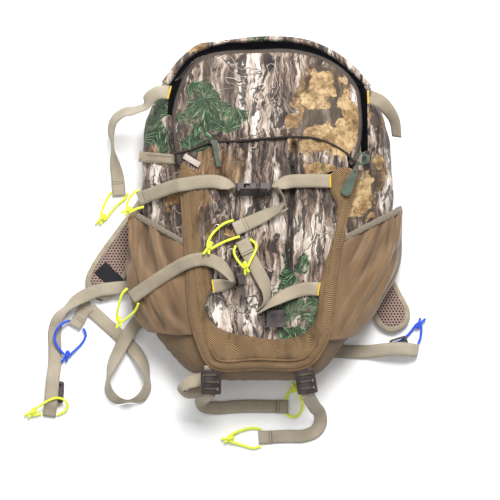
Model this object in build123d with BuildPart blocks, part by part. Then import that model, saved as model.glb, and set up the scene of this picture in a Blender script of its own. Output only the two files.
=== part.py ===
from build123d import *
import math
import os

# A hunting daypack lying on its back panel. Millimetres. The origin is the centre of the back pads' resting face,
# +Y runs to the pack's top, +X to its right side seen from the front, and +Z out of its front.

WEBBING_WIDTH = 20.0
WEBBING_THICKNESS = 1.5
STRAP_WIDTH = 55.0
STRAP_THICKNESS = 7.5
STRAP_Z = 8.0  # middle of the padded straps' thickness
CORD_DIAMETER = 3.8
KNOT_RADIUS = 6.0

PAD_HEIGHT = 12.0
BACK_Z = 16.0  # back of the bag fabric
WIDEST_Z = 45.0
FRONT_Z = 105.0
WALL = 4.0
FRONT_GAP = 0.3
POCKET_TOP_Z = 122.0
LID_Z = 108.0
LID_TOP_Z = 119.0
SEAM_Y = -178.0  # seam between the printed bag and the brown base
ON_POCKET_Z = 123.6  # middle of webbing lying on the stuff pocket

BUCKLE_WIDTH = 25.0
BUCKLE_THICKNESS = 9.0
SOCKET_LENGTH = 33.0
PLUG_LENGTH = 19.0
PRONG_LENGTH = 21.0

WIDEST = [
    (5, 262), (72, 255), (130, 225), (172, 180), (192, 130), (198, 60), (200, -10), (192, -80),
    (165, -140), (128, -190), (84, -240), (-10, -250), (-105, -238), (-150, -195), (-182, -140),
    (-190, -75), (-186, -10), (-182, 60), (-178, 130), (-160, 185), (-118, 232), (-60, 254),
]
FRONT = [
    (5, 246), (62, 243), (112, 222), (148, 188), (158, 130), (152, 75), (134, 20), (122, -30),
    (108, -110), (99, -185), (75, -224), (-5, -231), (-80, -226), (-98, -185), (-111, -120),
    (-114, -60), (-118, 0), (-123, 60), (-131, 125), (-120, 185), (-88, 230), (-50, 242),
]
BASE_SCALE = 0.97


# Shapes ---------------------------------------------------------------------------------------------------------------

def scaled(points, factor):
    return [(x * factor, y * factor) for x, y in points]


def shifted(points, distance):
    """A closed outline's points, each moved outward by the distance, square to the line between its neighbours."""
    moved = []
    count = len(points)
    turning = sum(
        points[i - 1][0] * points[i][1] - points[i][0] * points[i - 1][1] for i in range(count)
    )
    side = 1 if turning > 0 else -1
    for i, (x, y) in enumerate(points):
        before = points[i - 1]
        after = points[(i + 1) % count]
        dx = after[0] - before[0]
        dy = after[1] - before[1]
        length = math.hypot(dx, dy)
        moved.append((x + side * dy / length * distance, y - side * dx / length * distance))
    return moved


def bag_block(at_back, at_widest, at_front, back_z=BACK_Z, front_z=FRONT_Z):
    """The bag's outer form, grown outward by a distance at each of its three levels."""
    levels = [
        (shifted(scaled(WIDEST, BASE_SCALE), at_back), back_z),
        (shifted(WIDEST, at_widest), WIDEST_Z),
        (shifted(FRONT, at_front), front_z),
    ]
    with BuildPart() as block:
        for points, height in levels:
            with BuildSketch(Plane.XY.offset(height)):
                with BuildLine():
                    Spline(*points, periodic=True)
                make_face()
        loft()
    return block.part


def prism(points, low, high):
    """A straight-sided prism over a polygon."""
    with BuildPart() as block:
        with BuildSketch(Plane.XY.offset(low)):
            with BuildLine():
                Polyline(*points, close=True)
            make_face()
        extrude(amount=high - low)
    return block.part


def panel(curve, low, high, inset):
    """A fabric panel over a flat-bottomed curve, its top drawn in by the inset all round."""
    top = shifted(curve, -inset)
    with BuildPart() as block:
        for points, height in ((curve, low), (top, high)):
            with BuildSketch(Plane.XY.offset(height)):
                with BuildLine():
                    Spline(*points)
                    Line(points[-1], points[0])
                make_face()
        loft(ruled=True)
    return block.part


def band(route, width=WEBBING_WIDTH, thickness=WEBBING_THICKNESS):
    """A flat band through (x, y, z, lean) stations; lean turns it on edge, in degrees."""
    places = [Vector(*station[:3]) for station in route]
    with BuildPart() as strip:
        for i, place in enumerate(places):
            before = places[max(i - 1, 0)]
            after = places[min(i + 1, len(places) - 1)]
            along = (after - before).normalized()
            across = Vector(0, 0, 1).cross(along).normalized().rotate(Axis((0, 0, 0), along), route[i][3])
            with BuildSketch(Plane(origin=place, x_dir=across, z_dir=along)):
                Rectangle(width, thickness)
        loft(ruled=True)
    return strip.part


def tube(route, diameter, radii):
    """A round tube of straight runs joined by tangent arcs."""
    with BuildPart() as piece:
        with BuildLine() as path:
            FilletPolyline(*route, radius=radii)
        with BuildSketch(Plane(path.line @ 0, z_dir=path.line % 0)):
            Circle(diameter / 2)
        sweep()
    return piece.part


def cord(name, route):
    """A limp cord's tube; each arc takes as much of its two runs as they allow."""
    points = [Vector(*place) for place in route]
    radii = []
    for before, corner, after in zip(points, points[1:], points[2:]):
        turn = (corner - before).get_angle(after - corner)
        shorter = min((corner - before).length, (after - corner).length)
        radii.append(0.45 * shorter / math.tan(math.radians(turn / 2)))
    piece = tube(route, CORD_DIAMETER, radii)
    section = math.pi * CORD_DIAMETER**2 / 4
    length = sum((b - a).length for a, b in zip(points, points[1:]))
    print(name, "radii", [round(r, 1) for r in radii], "runs", round(length, 1),
          "length", round(piece.volume / section, 1))
    return piece


def knot(place):
    """An overhand knot: three turns of cord round a core."""
    with BuildPart() as piece:
        with Locations(place):
            Sphere(KNOT_RADIUS - 1.2)
            for turn in ((0, 0, 0), (70, 0, 30), (-60, 0, -50)):
                with Locations(Rotation(*turn)):
                    Torus(KNOT_RADIUS - CORD_DIAMETER / 2, CORD_DIAMETER / 2)
    return piece.part


def buckle_socket(plane):
    """A side-release socket: strap slot at the plane's origin, mouth along its x axis."""
    with BuildPart() as piece:
        with BuildSketch(plane.offset(-BUCKLE_THICKNESS / 2)):
            with Locations((SOCKET_LENGTH / 2, 0)):
                RectangleRounded(SOCKET_LENGTH, BUCKLE_WIDTH, 4)
        extrude(amount=BUCKLE_THICKNESS)
        with BuildSketch(plane.offset(-BUCKLE_THICKNESS / 2)):
            with Locations((5, 0)):
                SlotOverall(WEBBING_WIDTH + 1, 3, rotation=90)
        extrude(amount=BUCKLE_THICKNESS, mode=Mode.SUBTRACT)
        with BuildSketch(plane.offset(-3)):
            with Locations((10 + SOCKET_LENGTH / 2, 0)):
                Rectangle(SOCKET_LENGTH, BUCKLE_WIDTH - 6)
            with Locations((17, 0)):
                Rectangle(9, BUCKLE_WIDTH + 2)
        extrude(amount=6, mode=Mode.SUBTRACT)
    return piece.part


def buckle_plug(plane):
    """A side-release plug: strap end at the plane's origin, two prongs and a guide along its x axis."""
    with BuildPart() as piece:
        with BuildSketch(plane.offset(-BUCKLE_THICKNESS / 2)):
            with Locations((PLUG_LENGTH / 2, 0)):
                RectangleRounded(PLUG_LENGTH, BUCKLE_WIDTH, 3)
            with Locations((5, 0), (11, 0)):
                SlotOverall(WEBBING_WIDTH + 1, 3, rotation=90, mode=Mode.SUBTRACT)
        extrude(amount=BUCKLE_THICKNESS)
        with BuildSketch(plane.offset(-2.5)):
            for y in (-7.5, 0, 7.5):
                with Locations((PLUG_LENGTH + PRONG_LENGTH / 2 - 1, y)):
                    RectangleRounded(PRONG_LENGTH, 3.4, 1.5)
        extrude(amount=5)
    return piece.part


def ladder_lock(plane, width=30.0, length=30.0, thickness=4.0):
    """A ladder-lock: a frame round three bars, its sewn end at the plane's origin."""
    with BuildPart() as piece:
        with BuildSketch(plane.offset(-thickness / 2)):
            with Locations((length / 2, 0)):
                RectangleRounded(length, width, 3)
            for place in (0.2, 0.5, 0.8):
                with Locations((length * place, 0)):
                    Rectangle(length * 0.17, width - 8, mode=Mode.SUBTRACT)
        extrude(amount=thickness)
    return piece.part


def save(name, piece):
    piece.label = name
    export_step(piece, f"parts/{name}.step")


os.makedirs("parts", exist_ok=True)

# Bag ------------------------------------------------------------------------------------------------------------------

LID_CURVE = [
    (134, 71), (142, 94), (146, 125), (145, 159), (140, 187), (127, 206), (95, 229), (57, 241), (-18, 242),
    (-58, 240), (-84, 234), (-111, 210), (-123, 184), (-132, 143), (-130, 109), (-124, 71),
]
POCKET_CURVE = [
    (-121, 66), (-117, 0), (-112, -70), (-109, -125), (-97, -185), (-78, -223), (-5, -228), (73, -221),
    (97, -185), (106, -112), (119, -32), (131, 18), (146, 66),
]

outer_form = bag_block(0, 0, 0)
inner_form = bag_block(-WALL, -WALL, -WALL, BACK_Z + 3, FRONT_Z - 3)
clearance_form = bag_block(0.4, 0.4, 0.4)

with BuildPart() as hollow_bag:
    add(outer_form)
    add(inner_form, mode=Mode.SUBTRACT)
    with BuildSketch(Plane.XY.offset(FRONT_Z - 6)):
        with BuildLine():
            mouth = shifted(LID_CURVE, -12)
            Spline(*mouth)
            Line(mouth[-1], mouth[0])
        make_face()
    extrude(amount=8, mode=Mode.SUBTRACT)

seam_plane = Plane(origin=(0, SEAM_Y, 0), x_dir=(1, 0, 0), z_dir=(0, -1, 0))
with BuildPart() as bag_shell:
    add(hollow_bag.part)
    split(bisect_by=seam_plane, keep=Keep.BOTTOM)
save("bag_shell", bag_shell.part)

with BuildPart() as base_panel:
    add(hollow_bag.part)
    split(bisect_by=seam_plane, keep=Keep.TOP)
save("base_panel", base_panel.part)

with BuildPart() as back_panel:
    with BuildSketch(Plane.XY.offset(PAD_HEIGHT)):
        with BuildLine():
            Spline(*shifted(scaled(WIDEST, BASE_SCALE), -3), periodic=True)
        make_face()
    extrude(amount=BACK_Z - PAD_HEIGHT)
save("back_panel", back_panel.part)

with BuildPart() as frame_sheet:
    with BuildSketch(Plane.XY.offset(BACK_Z + 3.3)):
        with Locations((0, 10)):
            RectangleRounded(230, 400, 30)
    extrude(amount=1.5)
save("frame_sheet", frame_sheet.part)

with BuildPart() as back_pads:
    with BuildSketch(Plane.XY):
        with Locations((0, 10)):
            RectangleRounded(90, 300, 25)
        with Locations((0, -186)):
            RectangleRounded(200, 62, 25)
    extrude(amount=PAD_HEIGHT)
save("back_pads", back_pads.part)

HOOD_OUTER = [
    (-150, 197), (-118, 236), (-101, 249), (-58, 258), (0, 265), (28, 265), (67, 260), (100, 247), (129, 228),
    (163, 192),
]
HOOD_INNER = [
    (152, 191), (123, 218), (75, 248), (28, 256), (-18, 255), (-81, 247), (-107, 232), (-138, 192),
]
with BuildPart() as hood:
    with BuildSketch(Plane.XY.offset(90)):
        with BuildLine():
            Spline(*HOOD_OUTER)
            Line(HOOD_OUTER[-1], HOOD_INNER[0])
            Spline(*HOOD_INNER)
            Line(HOOD_INNER[-1], HOOD_OUTER[0])
        make_face()
    extrude(amount=22)
    add(clearance_form, mode=Mode.SUBTRACT)
save("hood", hood.part)

with BuildPart() as corner_lining:
    with BuildSketch(Plane.XY.offset(FRONT_Z + FRONT_GAP)):
        with BuildLine():
            Polyline((-119, 200), (-131, 190), (-137, 172), (-134, 152), (-129, 170), (-124, 188), close=True)
        make_face()
        with BuildLine():
            Polyline((150, 130), (155, 130), (152, 187), (145, 187), (149, 160), close=True)
        make_face()
    extrude(amount=1.2)
save("corner_lining", corner_lining.part)

with BuildPart() as rim_tape:
    with BuildSketch(Plane.XY.offset(FRONT_Z + FRONT_GAP)):
        for curve, mode in ((shifted(LID_CURVE, -1), Mode.ADD), (shifted(LID_CURVE, -9), Mode.SUBTRACT)):
            with BuildLine():
                Spline(*curve)
                Line(curve[-1], curve[0])
            make_face(mode=mode)
    extrude(amount=1.7)
save("rim_tape", rim_tape.part)

# Stuff pocket: open along its upper edge, just below the lid's hinge.
hollow_curve = [(-118, 70)] + shifted(POCKET_CURVE, -3)[1:-1] + [(141, 70)]
pocket_hollow = panel(hollow_curve, FRONT_Z, POCKET_TOP_Z - 3, 8)
with BuildPart() as stuff_pocket:
    add(panel(POCKET_CURVE, FRONT_Z + FRONT_GAP, POCKET_TOP_Z, 8))
    add(pocket_hollow, mode=Mode.SUBTRACT)
save("stuff_pocket", stuff_pocket.part)

# Side pockets: a skin standing off the bag's side, closed at its foot, open at the elastic.
MOUTHS = {"left": ((-187, 6), (-123, -31)), "right": ((204, 14), (121, -29))}
FEET = {
    "left": [(-95, -179), (-130, -181), (-230, -152)],
    "right": [(90, -189), (122, -187), (230, -150)],
}
ELASTIC_WIDTH = 8.0
pocket_skin = bag_block(8, 12, 2)
pocket_space = bag_block(5, 9, -3, BACK_Z + 3, FRONT_Z)
elastic_bands = []
for side in ("left", "right"):
    outer_end, inner_end = MOUTHS[side]
    slope = (outer_end[1] - inner_end[1]) / (outer_end[0] - inner_end[0])
    reach = FEET[side][2][0]
    inside = FEET[side][0][0]
    mouth_line = [
        (reach, outer_end[1] + slope * (reach - outer_end[0])),
        (inside, outer_end[1] + slope * (inside - outer_end[0])),
    ]
    foot = FEET[side]
    raised_foot = [(x, y + 4) for x, y in foot]
    above_mouth = [(x, y + 10) for x, y in mouth_line]
    with BuildPart() as space:
        add(pocket_space)
        add(prism(above_mouth + raised_foot, 0, 120), mode=Mode.INTERSECT)
    with BuildPart() as skin:
        add(pocket_skin)
        add(prism(mouth_line + foot, 0, 120), mode=Mode.INTERSECT)
        add(space.part, mode=Mode.SUBTRACT)
        add(clearance_form, mode=Mode.SUBTRACT)
    along = Vector(inner_end[0] - outer_end[0], inner_end[1] - outer_end[1], 0).normalized()
    up = Vector(-along.Y, along.X, 0) if along.X > 0 else Vector(along.Y, -along.X, 0)
    seam = Plane(origin=Vector(*outer_end, 0) - up * ELASTIC_WIDTH, x_dir=along, z_dir=up)
    with BuildPart() as side_pocket:
        add(skin.part)
        split(bisect_by=seam, keep=Keep.BOTTOM)
    save(f"side_pocket_{side}", side_pocket.part)
    with BuildPart() as elastic:
        add(skin.part)
        split(bisect_by=seam, keep=Keep.TOP)
    elastic_bands.append(elastic.part)

with BuildPart() as pocket_elastics:
    for elastic_band in elastic_bands:
        add(elastic_band)
save("pocket_elastics", pocket_elastics.part)

with BuildPart() as haul_loop:
    with BuildSketch(Plane.XY.offset(5)):
        with Locations((0, 240)):
            RectangleRounded(84, 30, 14)
            RectangleRounded(58, 14, 6.5, mode=Mode.SUBTRACT)
    extrude(amount=2)
save("haul_loop", haul_loop.part)

# Lid ------------------------------------------------------------------------------------------------------------------

BINDING_WIDTH = 9.0
lid_block = panel(LID_CURVE, LID_Z, LID_TOP_Z, 6)
with BuildPart() as lid_core:
    with BuildSketch(Plane.XY.offset(LID_Z)):
        with BuildLine():
            core_curve = shifted(LID_CURVE, -BINDING_WIDTH)
            Spline(*core_curve)
            Line(core_curve[-1], core_curve[0])
        make_face()
    extrude(amount=LID_TOP_Z - LID_Z)

with BuildPart() as lid_panel:
    add(lid_core.part)
save("lid_panel", lid_panel.part)

with BuildPart() as lid_binding:
    add(lid_block)
    add(lid_core.part, mode=Mode.SUBTRACT)
save("lid_binding", lid_binding.part)

ZIP_CURVE = [(-116, 94), (-75, 107), (-22, 109), (48, 115), (81, 112), (105, 103), (120, 95)]
with BuildPart() as lid_zip:
    with BuildSketch(Plane.XY.offset(LID_TOP_Z + 0.1)):
        with BuildLine():
            zip_line = Spline(*ZIP_CURVE)
        trace(zip_line, line_width=7)
    extrude(amount=0.8)
save("lid_zip", lid_zip.part)

with BuildPart() as label_tab:
    with BuildSketch(Plane.XY.offset(LID_TOP_Z + 0.1)):
        with Locations((-101, 80)):
            Rectangle(24, 8, rotation=-33)
    extrude(amount=1)
save("label_tab", label_tab.part)

LID_SLIDER = (-71, 107)
with BuildPart() as lid_zip_slider:
    with BuildSketch(Plane.XY.offset(LID_TOP_Z + 1.2)):
        with Locations(LID_SLIDER):
            RectangleRounded(10, 7, 2)
    extrude(amount=2.4)
save("lid_zip_slider", lid_zip_slider.part)

with BuildPart() as lid_zip_pull:
    with BuildSketch(Plane.XY.offset(LID_TOP_Z + 4)):
        with BuildLine():
            pull_line = Line((-71, 107), (-64, 71))
        trace(pull_line, line_width=6.7)
    extrude(amount=1.5)
save("lid_zip_pull", lid_zip_pull.part)

# Main zip slider and its pull -----------------------------------------------------------------------------------------

MAIN_SLIDER = (153, 82)
with BuildPart() as main_zip_slider:
    with BuildSketch(Plane.XY.offset(FRONT_Z + 2.4)):
        with Locations(MAIN_SLIDER):
            RectangleRounded(10, 15, 4)
    extrude(amount=9)
    with BuildSketch(Plane.YZ.offset(MAIN_SLIDER[0] - 1.5)):
        with Locations((MAIN_SLIDER[1], FRONT_Z + 11)):
            SlotOverall(12, 8)
            SlotOverall(8, 4.5, mode=Mode.SUBTRACT)
    extrude(amount=3)
save("main_zip_slider", main_zip_slider.part)

PULL_Z = 125.5
with BuildPart() as pull_ring:
    with Locations((146.5, 82, PULL_Z)):
        Torus(8, 1.4)
with BuildPart() as main_zip_pull:
    with BuildSketch(Plane.XY.offset(PULL_Z - 2)):
        with Locations((137, 63)):
            Circle(4)
        with Locations((124.5, 35.5)):
            Circle(8)
        make_hull()
        with Locations((137, 63)):
            Circle(1.8, mode=Mode.SUBTRACT)
    extrude(amount=4)
    add(pull_ring.part)
    add(tube([(140.5, 75.5, PULL_Z), (139.5, 71, PULL_Z), (138.2, 67.2, PULL_Z)], 2.4, [6]))
save("main_zip_pull", main_zip_pull.part)

# Straps on the front --------------------------------------------------------------------------------------------------

upper_plane = Plane(origin=(-39.5, 36.5, 136), x_dir=(1, 0, 0), z_dir=(0, -0.906, 0.423))
save("upper_buckle_socket", buckle_socket(upper_plane))
plug_plane = Plane(origin=(14, 36.5, 136), x_dir=(-1, 0, 0), z_dir=(0, -0.906, 0.423))
save("upper_buckle_plug", buckle_plug(plug_plane))
lower_plug_plane = Plane(origin=(-33, -86, 136), x_dir=(0.19, -0.982, 0), z_dir=(0.982, 0.19, 0))
save("lower_buckle_plug", buckle_plug(lower_plug_plane))
lower_socket_plane = Plane(origin=(0, -153.5, 128), x_dir=(1, 0, 0), z_dir=(0, 0, 1))
save("lower_buckle_socket", buckle_socket(lower_socket_plane))

UPPER_LEFT = [
    (-45, 38.5, 136, 60), (-54, 44, 130, 25), (-66, 48, 124.6, 0), (-91, 48, ON_POCKET_Z, 0), (-112, 45, ON_POCKET_Z, 0),
    (-122, 43.5, 122, 0), (-131, 41.5, 112, 0), (-140, 39, 102, 0), (-152, 35, 93, 0), (-167, 30, 82, 0),
    (-184, 24, 67, 0),
]
UPPER_RIGHT = [
    (101, 49.5, ON_POCKET_Z, 0), (60, 49.5, ON_POCKET_Z, 0), (38, 48, 125, 5), (27, 43.5, 130, 35), (18.5, 39, 136, 62),
]
UPPER_RIGHT_TAIL = [
    (19.5, 39, 136, 65), (28, 31, 135.5, 84), (32, 20, 134.5, 78), (26, 10, 129, 40), (9, 1, 124.4, 5),
    (-12, -9, ON_POCKET_Z, 0), (-41, -22, ON_POCKET_Z, 0),
]
LOWER_LEFT = [
    (-73, -106, ON_POCKET_Z, 0), (-57, -104, 127, 25), (-42.5, -99, 135, 72),
]
LOWER_LEFT_TAIL = [
    (-42, -100, 135, 74), (-53, -84, 131, 45), (-66, -72, 126.5, 15), (-84, -66, 124.2, 0), (-103, -68, 124, 0),
    (-118, -74, 118, 0), (-132, -82, 108, 0), (-150, -93, 99, 0), (-172, -108, 89, 0), (-196, -124, 74, 0),
]
LOWER_RIGHT = [
    (84, -110, ON_POCKET_Z, 0), (64, -110, 124, 0), (42, -116, 126.5, 15), (20, -127, 131, 45), (3, -138, 134.5, 75),
    (-7, -144, 132, 78),
]
LOWER_RIGHT_TAIL = [
    (-8, -144, 133, 78), (4, -132, 133.5, 72), (6, -118, 131, 55), (3, -102, 126, 20), (-6, -85, 124.2, 0),
    (-19, -61, ON_POCKET_Z, 0), (-30, -38, ON_POCKET_Z, 0),
]
TOP_LEFT = [
    (-138, 181, 108, 0), (-153, 181, 107, 0), (-167, 173, 100, 10), (-176, 161, 88, 30), (-190, 156, 78, 55),
    (-208, 153, 62, 80), (-222, 143, 48, 84), (-228, 125, 34, 80), (-226, 104, 22, 55), (-223, 80, 12, 25),
    (-219, 56, 5, 8), (-217, 30, 3, 0),
]
TOP_RIGHT = [
    (160, 174, 108, 0), (173, 169, 106.5, 0), (186, 157, 99, 20), (197, 140, 88, 40), (201, 116, 80, 50),
]
save("upper_strap_left", band(UPPER_LEFT))
save("lower_strap_left", band(LOWER_LEFT).fuse(band(LOWER_LEFT_TAIL)).solid())
save("lower_strap_right", band(LOWER_RIGHT).fuse(band(LOWER_RIGHT_TAIL)).solid())
save("upper_strap_right", band(UPPER_RIGHT).fuse(band(UPPER_RIGHT_TAIL)).solid())
save("top_strap_left", band(TOP_LEFT))
save("top_strap_right", band(TOP_RIGHT))

# Base straps with their ladder-locks ----------------------------------------------------------------------------------

LOCK_TILT = math.radians(32)
left_lock_plane = Plane(
    origin=(-76, -231, 110), x_dir=(0, -math.cos(LOCK_TILT), -math.sin(LOCK_TILT)),
    z_dir=(0, -math.sin(LOCK_TILT), math.cos(LOCK_TILT)),
)
right_lock_plane = Plane(
    origin=(62, -230, 110), x_dir=(0.15, -math.cos(LOCK_TILT), -math.sin(LOCK_TILT)),
    z_dir=(0, -math.sin(LOCK_TILT), math.cos(LOCK_TILT)),
)
save("base_ladderlock_left", ladder_lock(left_lock_plane, 30, 42))
save("base_ladderlock_right", ladder_lock(right_lock_plane, 30, 42))

BASE_LEFT = [(-76, -270, 84, 0), (-79, -279, 62, 0), (-82, -287, 36, 0), (-84, -294, 12, 0), (-84, -299, 1.6, 0)]
BASE_RIGHT = [(68, -270, 84, 0), (73, -279, 62, 0), (78, -287, 36, 0), (83, -295, 12, 0), (86, -300, 1.6, 0)]
with BuildPart() as base_strap_left:
    add(band(BASE_LEFT))
    with BuildSketch(Plane.XY.offset(0.8)):
        with Locations((-27, -291)):
            Rectangle(134, WEBBING_WIDTH)
    extrude(amount=WEBBING_THICKNESS)
save("base_strap_left", base_strap_left.part)

with BuildPart() as base_strap_right:
    add(band(BASE_RIGHT))
    with BuildSketch(Plane.XY.offset(0.8)):
        with BuildLine():
            fold_line = FilletPolyline((88, -296), (75, -333), (-5, -338), radius=14)
        trace(fold_line, line_width=WEBBING_WIDTH)
    extrude(amount=WEBBING_THICKNESS)
save("base_strap_right", base_strap_right.part)

# Shoulder straps, harness webbing and waist belt ----------------------------------------------------------------------

LEFT_STRAP = [
    (-55, 216, STRAP_Z, 0), (-72, 170, STRAP_Z, 0), (-98, 112, STRAP_Z, 0), (-128, 60, STRAP_Z, 0),
    (-165, 8, STRAP_Z, 0), (-202, -42, STRAP_Z, 0), (-234, -88, STRAP_Z, 0), (-252, -126, STRAP_Z, 0),
]
RIGHT_STRAP = [
    (55, 216, STRAP_Z, 0), (70, 160, STRAP_Z, 0), (88, 92, STRAP_Z, 0), (110, 25, STRAP_Z, 0),
    (140, -45, STRAP_Z, 0), (168, -108, STRAP_Z, 0), (198, -165, STRAP_Z, 0), (204, -177, STRAP_Z, 0),
]
left_end_plane = Plane(origin=(-244, -104, 6.4), x_dir=(-0.45, -0.893, 0), z_dir=(0, 0, 1))
left_end_lock = ladder_lock(left_end_plane, 27, 24)
with BuildPart() as shoulder_strap_left:
    add(band(LEFT_STRAP, STRAP_WIDTH, STRAP_THICKNESS))
    with BuildSketch(left_end_plane.offset(-4)):
        with Locations((12, 0)):
            Rectangle(28, 31)
    extrude(amount=6.6, mode=Mode.SUBTRACT)
save("shoulder_strap_left", shoulder_strap_left.part)
save("strap_ladderlock_left", left_end_lock)
save("shoulder_strap_right", band(RIGHT_STRAP, STRAP_WIDTH, STRAP_THICKNESS))
right_end_plane = Plane(origin=(206, -186, 7.2), x_dir=(0.3, -0.954, 0), z_dir=(0, 0, 1))
save("strap_ladderlock_right", ladder_lock(right_end_plane, 27, 24))

STRAP_TOP_Z = STRAP_Z + STRAP_THICKNESS / 2
with BuildPart() as strap_band_left:
    with BuildSketch(Plane.XY.offset(STRAP_TOP_Z + 0.1)):
        with BuildLine():
            Polyline((-236, -70), (-251, -88), (-229, -103), (-206, -92), close=True)
        make_face()
    extrude(amount=1.2)
save("strap_band_left", strap_band_left.part)

HARNESS_LEFT = [
    (-178, -152, 9, 0), (-190, -163, 10, 0), (-204, -182, 13, 5), (-216, -204, 14, 20), (-227, -226, 13, 50),
    (-233, -246, 12, 85), (-232, -266, 12, 88), (-222, -279, 12, 90), (-203, -282, 12, 90), (-184, -277, 12, 90),
    (-175, -263, 12, 88), (-174, -246, 12, 82), (-180, -226, 8, 45), (-196, -203, 3, 10), (-216, -184, 2, 0),
    (-240, -162, 2, 0), (-262, -142, 2, 0),
]
HARNESS_LEFT_TAIL = [(-260, -137, 2.8, 0), (-269, -142, 3.2, 0), (-276, -154, 4, 0), (-285, -169, 4.6, 0)]
HARNESS_RIGHT = [
    (103, -206, 2, 0), (135, -207.5, 2, 0), (162, -207, 4, 0), (184, -204, 11, 0), (203, -201, 12.6, 0),
    (222, -202, 12, 0), (237, -206, 6.5, 0),
]
BELT_LEFT = [
    (-184, -107, 13.7, 0), (-206, -109, 13.9, 0), (-227, -111, 15, 0), (-248, -114, 14.8, 0), (-264, -120, 15, 0),
    (-282, -129, 15, 20), (-298, -143, 12, 38), (-310, -158, 7, 12), (-315, -175, 3.5, 4), (-315, -200, 2, 0),
    (-315, -226, 4.5, 0), (-317, -246, 11.2, 0), (-319, -268, 11.2, 0), (-320.5, -287, 10.8, 0), (-322, -295, 6.5, 0),
    (-323.5, -306, 3, 0),
]
BELT_RIGHT = [(178, -130, 2, 0), (120, -130, 2, 0), (60, -130, 2, 0)]
with BuildPart() as harness_webbing_left:
    add(band(HARNESS_LEFT))
    add(band(HARNESS_LEFT_TAIL))
save("harness_webbing_left", harness_webbing_left.part)
save("harness_webbing_right", band(HARNESS_RIGHT))
save("waist_belt_left", band(BELT_LEFT))
save("waist_belt_right", band(BELT_RIGHT))
waist_plane = Plane(origin=(-313, -252, 5.2), x_dir=(-0.05, -0.999, 0), z_dir=(0, 0, 1))
save("waist_buckle_left", buckle_socket(waist_plane))

save("wire_pin", tube(
    [(-64, -41, 124), (-63, -18, 124), (-66.5, -11, 124), (-77, -32, 124), (-71, -45, 124)],
    1.4, [4, 3, 2.6],
))

# Pull cords, each a loop through a webbing hem, closed by a knot -------------------------------------------------------

CORDS = {
    "a": [
        (-229.5, 35.5, 3), (-234.5, 28, 2.6), (-239, 18, 2.6), (-243.5, 7, 4), (-245, -1.5, 6), (-242.5, -6, 6),
        (-238, -6.5, 6), (-232.5, 1, 4.4), (-225, 11, 2.6), (-216, 19.5, 2.4), (-207.5, 25.5, 2.4), (-204, 34, 3),
    ],
    "b": [
        (-184, 37.5, 70), (-191.5, 34, 70), (-198, 26.5, 70.5), (-202, 17, 71), (-202.8, 9.6, 72), (-201, 4.9, 72),
        (-196.3, 4.2, 72), (-190.5, 7.5, 71.5), (-184, 10.5, 71), (-177, 12, 70.5),
    ],
    "c": [
        (-42.2, -8.8, 124.8), (-52.5, -11, 125.6), (-63.5, -18.5, 127.4), (-73, -28, 128.4), (-78.5, -37, 129),
        (-80.7, -44.5, 130.5), (-80, -49.5, 130.5), (-75.5, -51.3, 130.5), (-69, -47, 129), (-59.5, -42, 126.5),
        (-46.5, -36.5, 124.8), (-33, -32.6, 124.8),
    ],
    "d": [
        (-38.7, -46, 124.6), (-42.5, -53, 124.6), (-40, -62, 125.6), (-34.5, -70, 128), (-29.3, -76.5, 129.5),
        (-24.9, -79, 129.5), (-20.7, -76, 129.5), (-17.5, -68, 129), (-12, -58.5, 128.4), (-8, -48.5, 127),
        (-10.7, -40.5, 125), (-18, -36.8, 124.6),
    ],
    "e": [
        (-200.8, -110, 76), (-208.5, -115.5, 75), (-212.5, -128, 70), (-216, -140, 63), (-218.3, -149.5, 57),
        (-218.2, -157, 53), (-215.5, -161.3, 52), (-210.8, -161, 53), (-204, -155.5, 57), (-195, -149, 62.5),
        (-187.5, -141, 69), (-185, -132.3, 75),
    ],
    "f": [
        (-335.4, -301.5, 3.2), (-340, -302.6, 3.6), (-344.5, -303.4, 4.8), (-349, -303, 6), (-351.5, -299, 6.2),
        (-349, -294.8, 6.5), (-343, -293.3, 9.6), (-334.5, -287.5, 14), (-323, -280, 15.6), (-310.5, -276, 15.6),
        (-299.5, -279.5, 13), (-293.5, -289, 7), (-299.5, -299, 3.6), (-311, -303.5, 3),
    ],
    "g": [
        (36, -280.2, 2.4), (38, -275, 2.4), (41.5, -268.5, 4), (45.9, -263, 6), (50.5, -261, 6.3),
        (54, -264.5, 6), (57.5, -271.5, 4.6), (61, -281, 2.6), (61.8, -292.5, 2.3), (57, -303.5, 2.3),
        (47.5, -308, 2.3), (36, -302, 2.3),
    ],
    "h": [
        (-1, -325.4, 2.4), (-9, -323.5, 2.3), (-20, -324.2, 2.3), (-32, -327.2, 3), (-41.5, -330.8, 5),
        (-49, -334.6, 6.2), (-51.5, -339, 6.2), (-49, -343.4, 6.2), (-40.5, -346, 4), (-30.5, -349.3, 2.4),
        (-20, -353, 2.3), (-9, -354.6, 2.3), (-1, -350.8, 2.4),
    ],
    "i": [
        (-292.6, -159.8, 6), (-298.5, -161.8, 12.8), (-306, -166.5, 15.4), (-313, -175, 12), (-315.5, -186.5, 8.4),
        (-312, -197.5, 7), (-305.5, -205.5, 7), (-300.5, -211.5, 6.6), (-296.2, -215, 6.4), (-291.8, -212.4, 6.4),
        (-285, -205.5, 5), (-276.5, -198, 3), (-269.5, -188.5, 2.6), (-267, -179, 4), (-271.8, -171.8, 5),
    ],
    "j": [
        (237.5, -195.5, 5.5), (241, -188.5, 4.6), (242.3, -180, 4.6), (242.8, -172, 5.6), (242, -166, 6.2),
        (237.7, -163.6, 6.2), (233.8, -166.5, 6.2), (229.5, -173, 4), (223, -181.5, 2.2), (214.5, -189, 2),
        (205.5, -194.5, 2), (196, -198, 2),
    ],
}
for cord_name, cord_route in CORDS.items():
    save(f"pull_cord_{cord_name}", cord(cord_name, cord_route))

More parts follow.
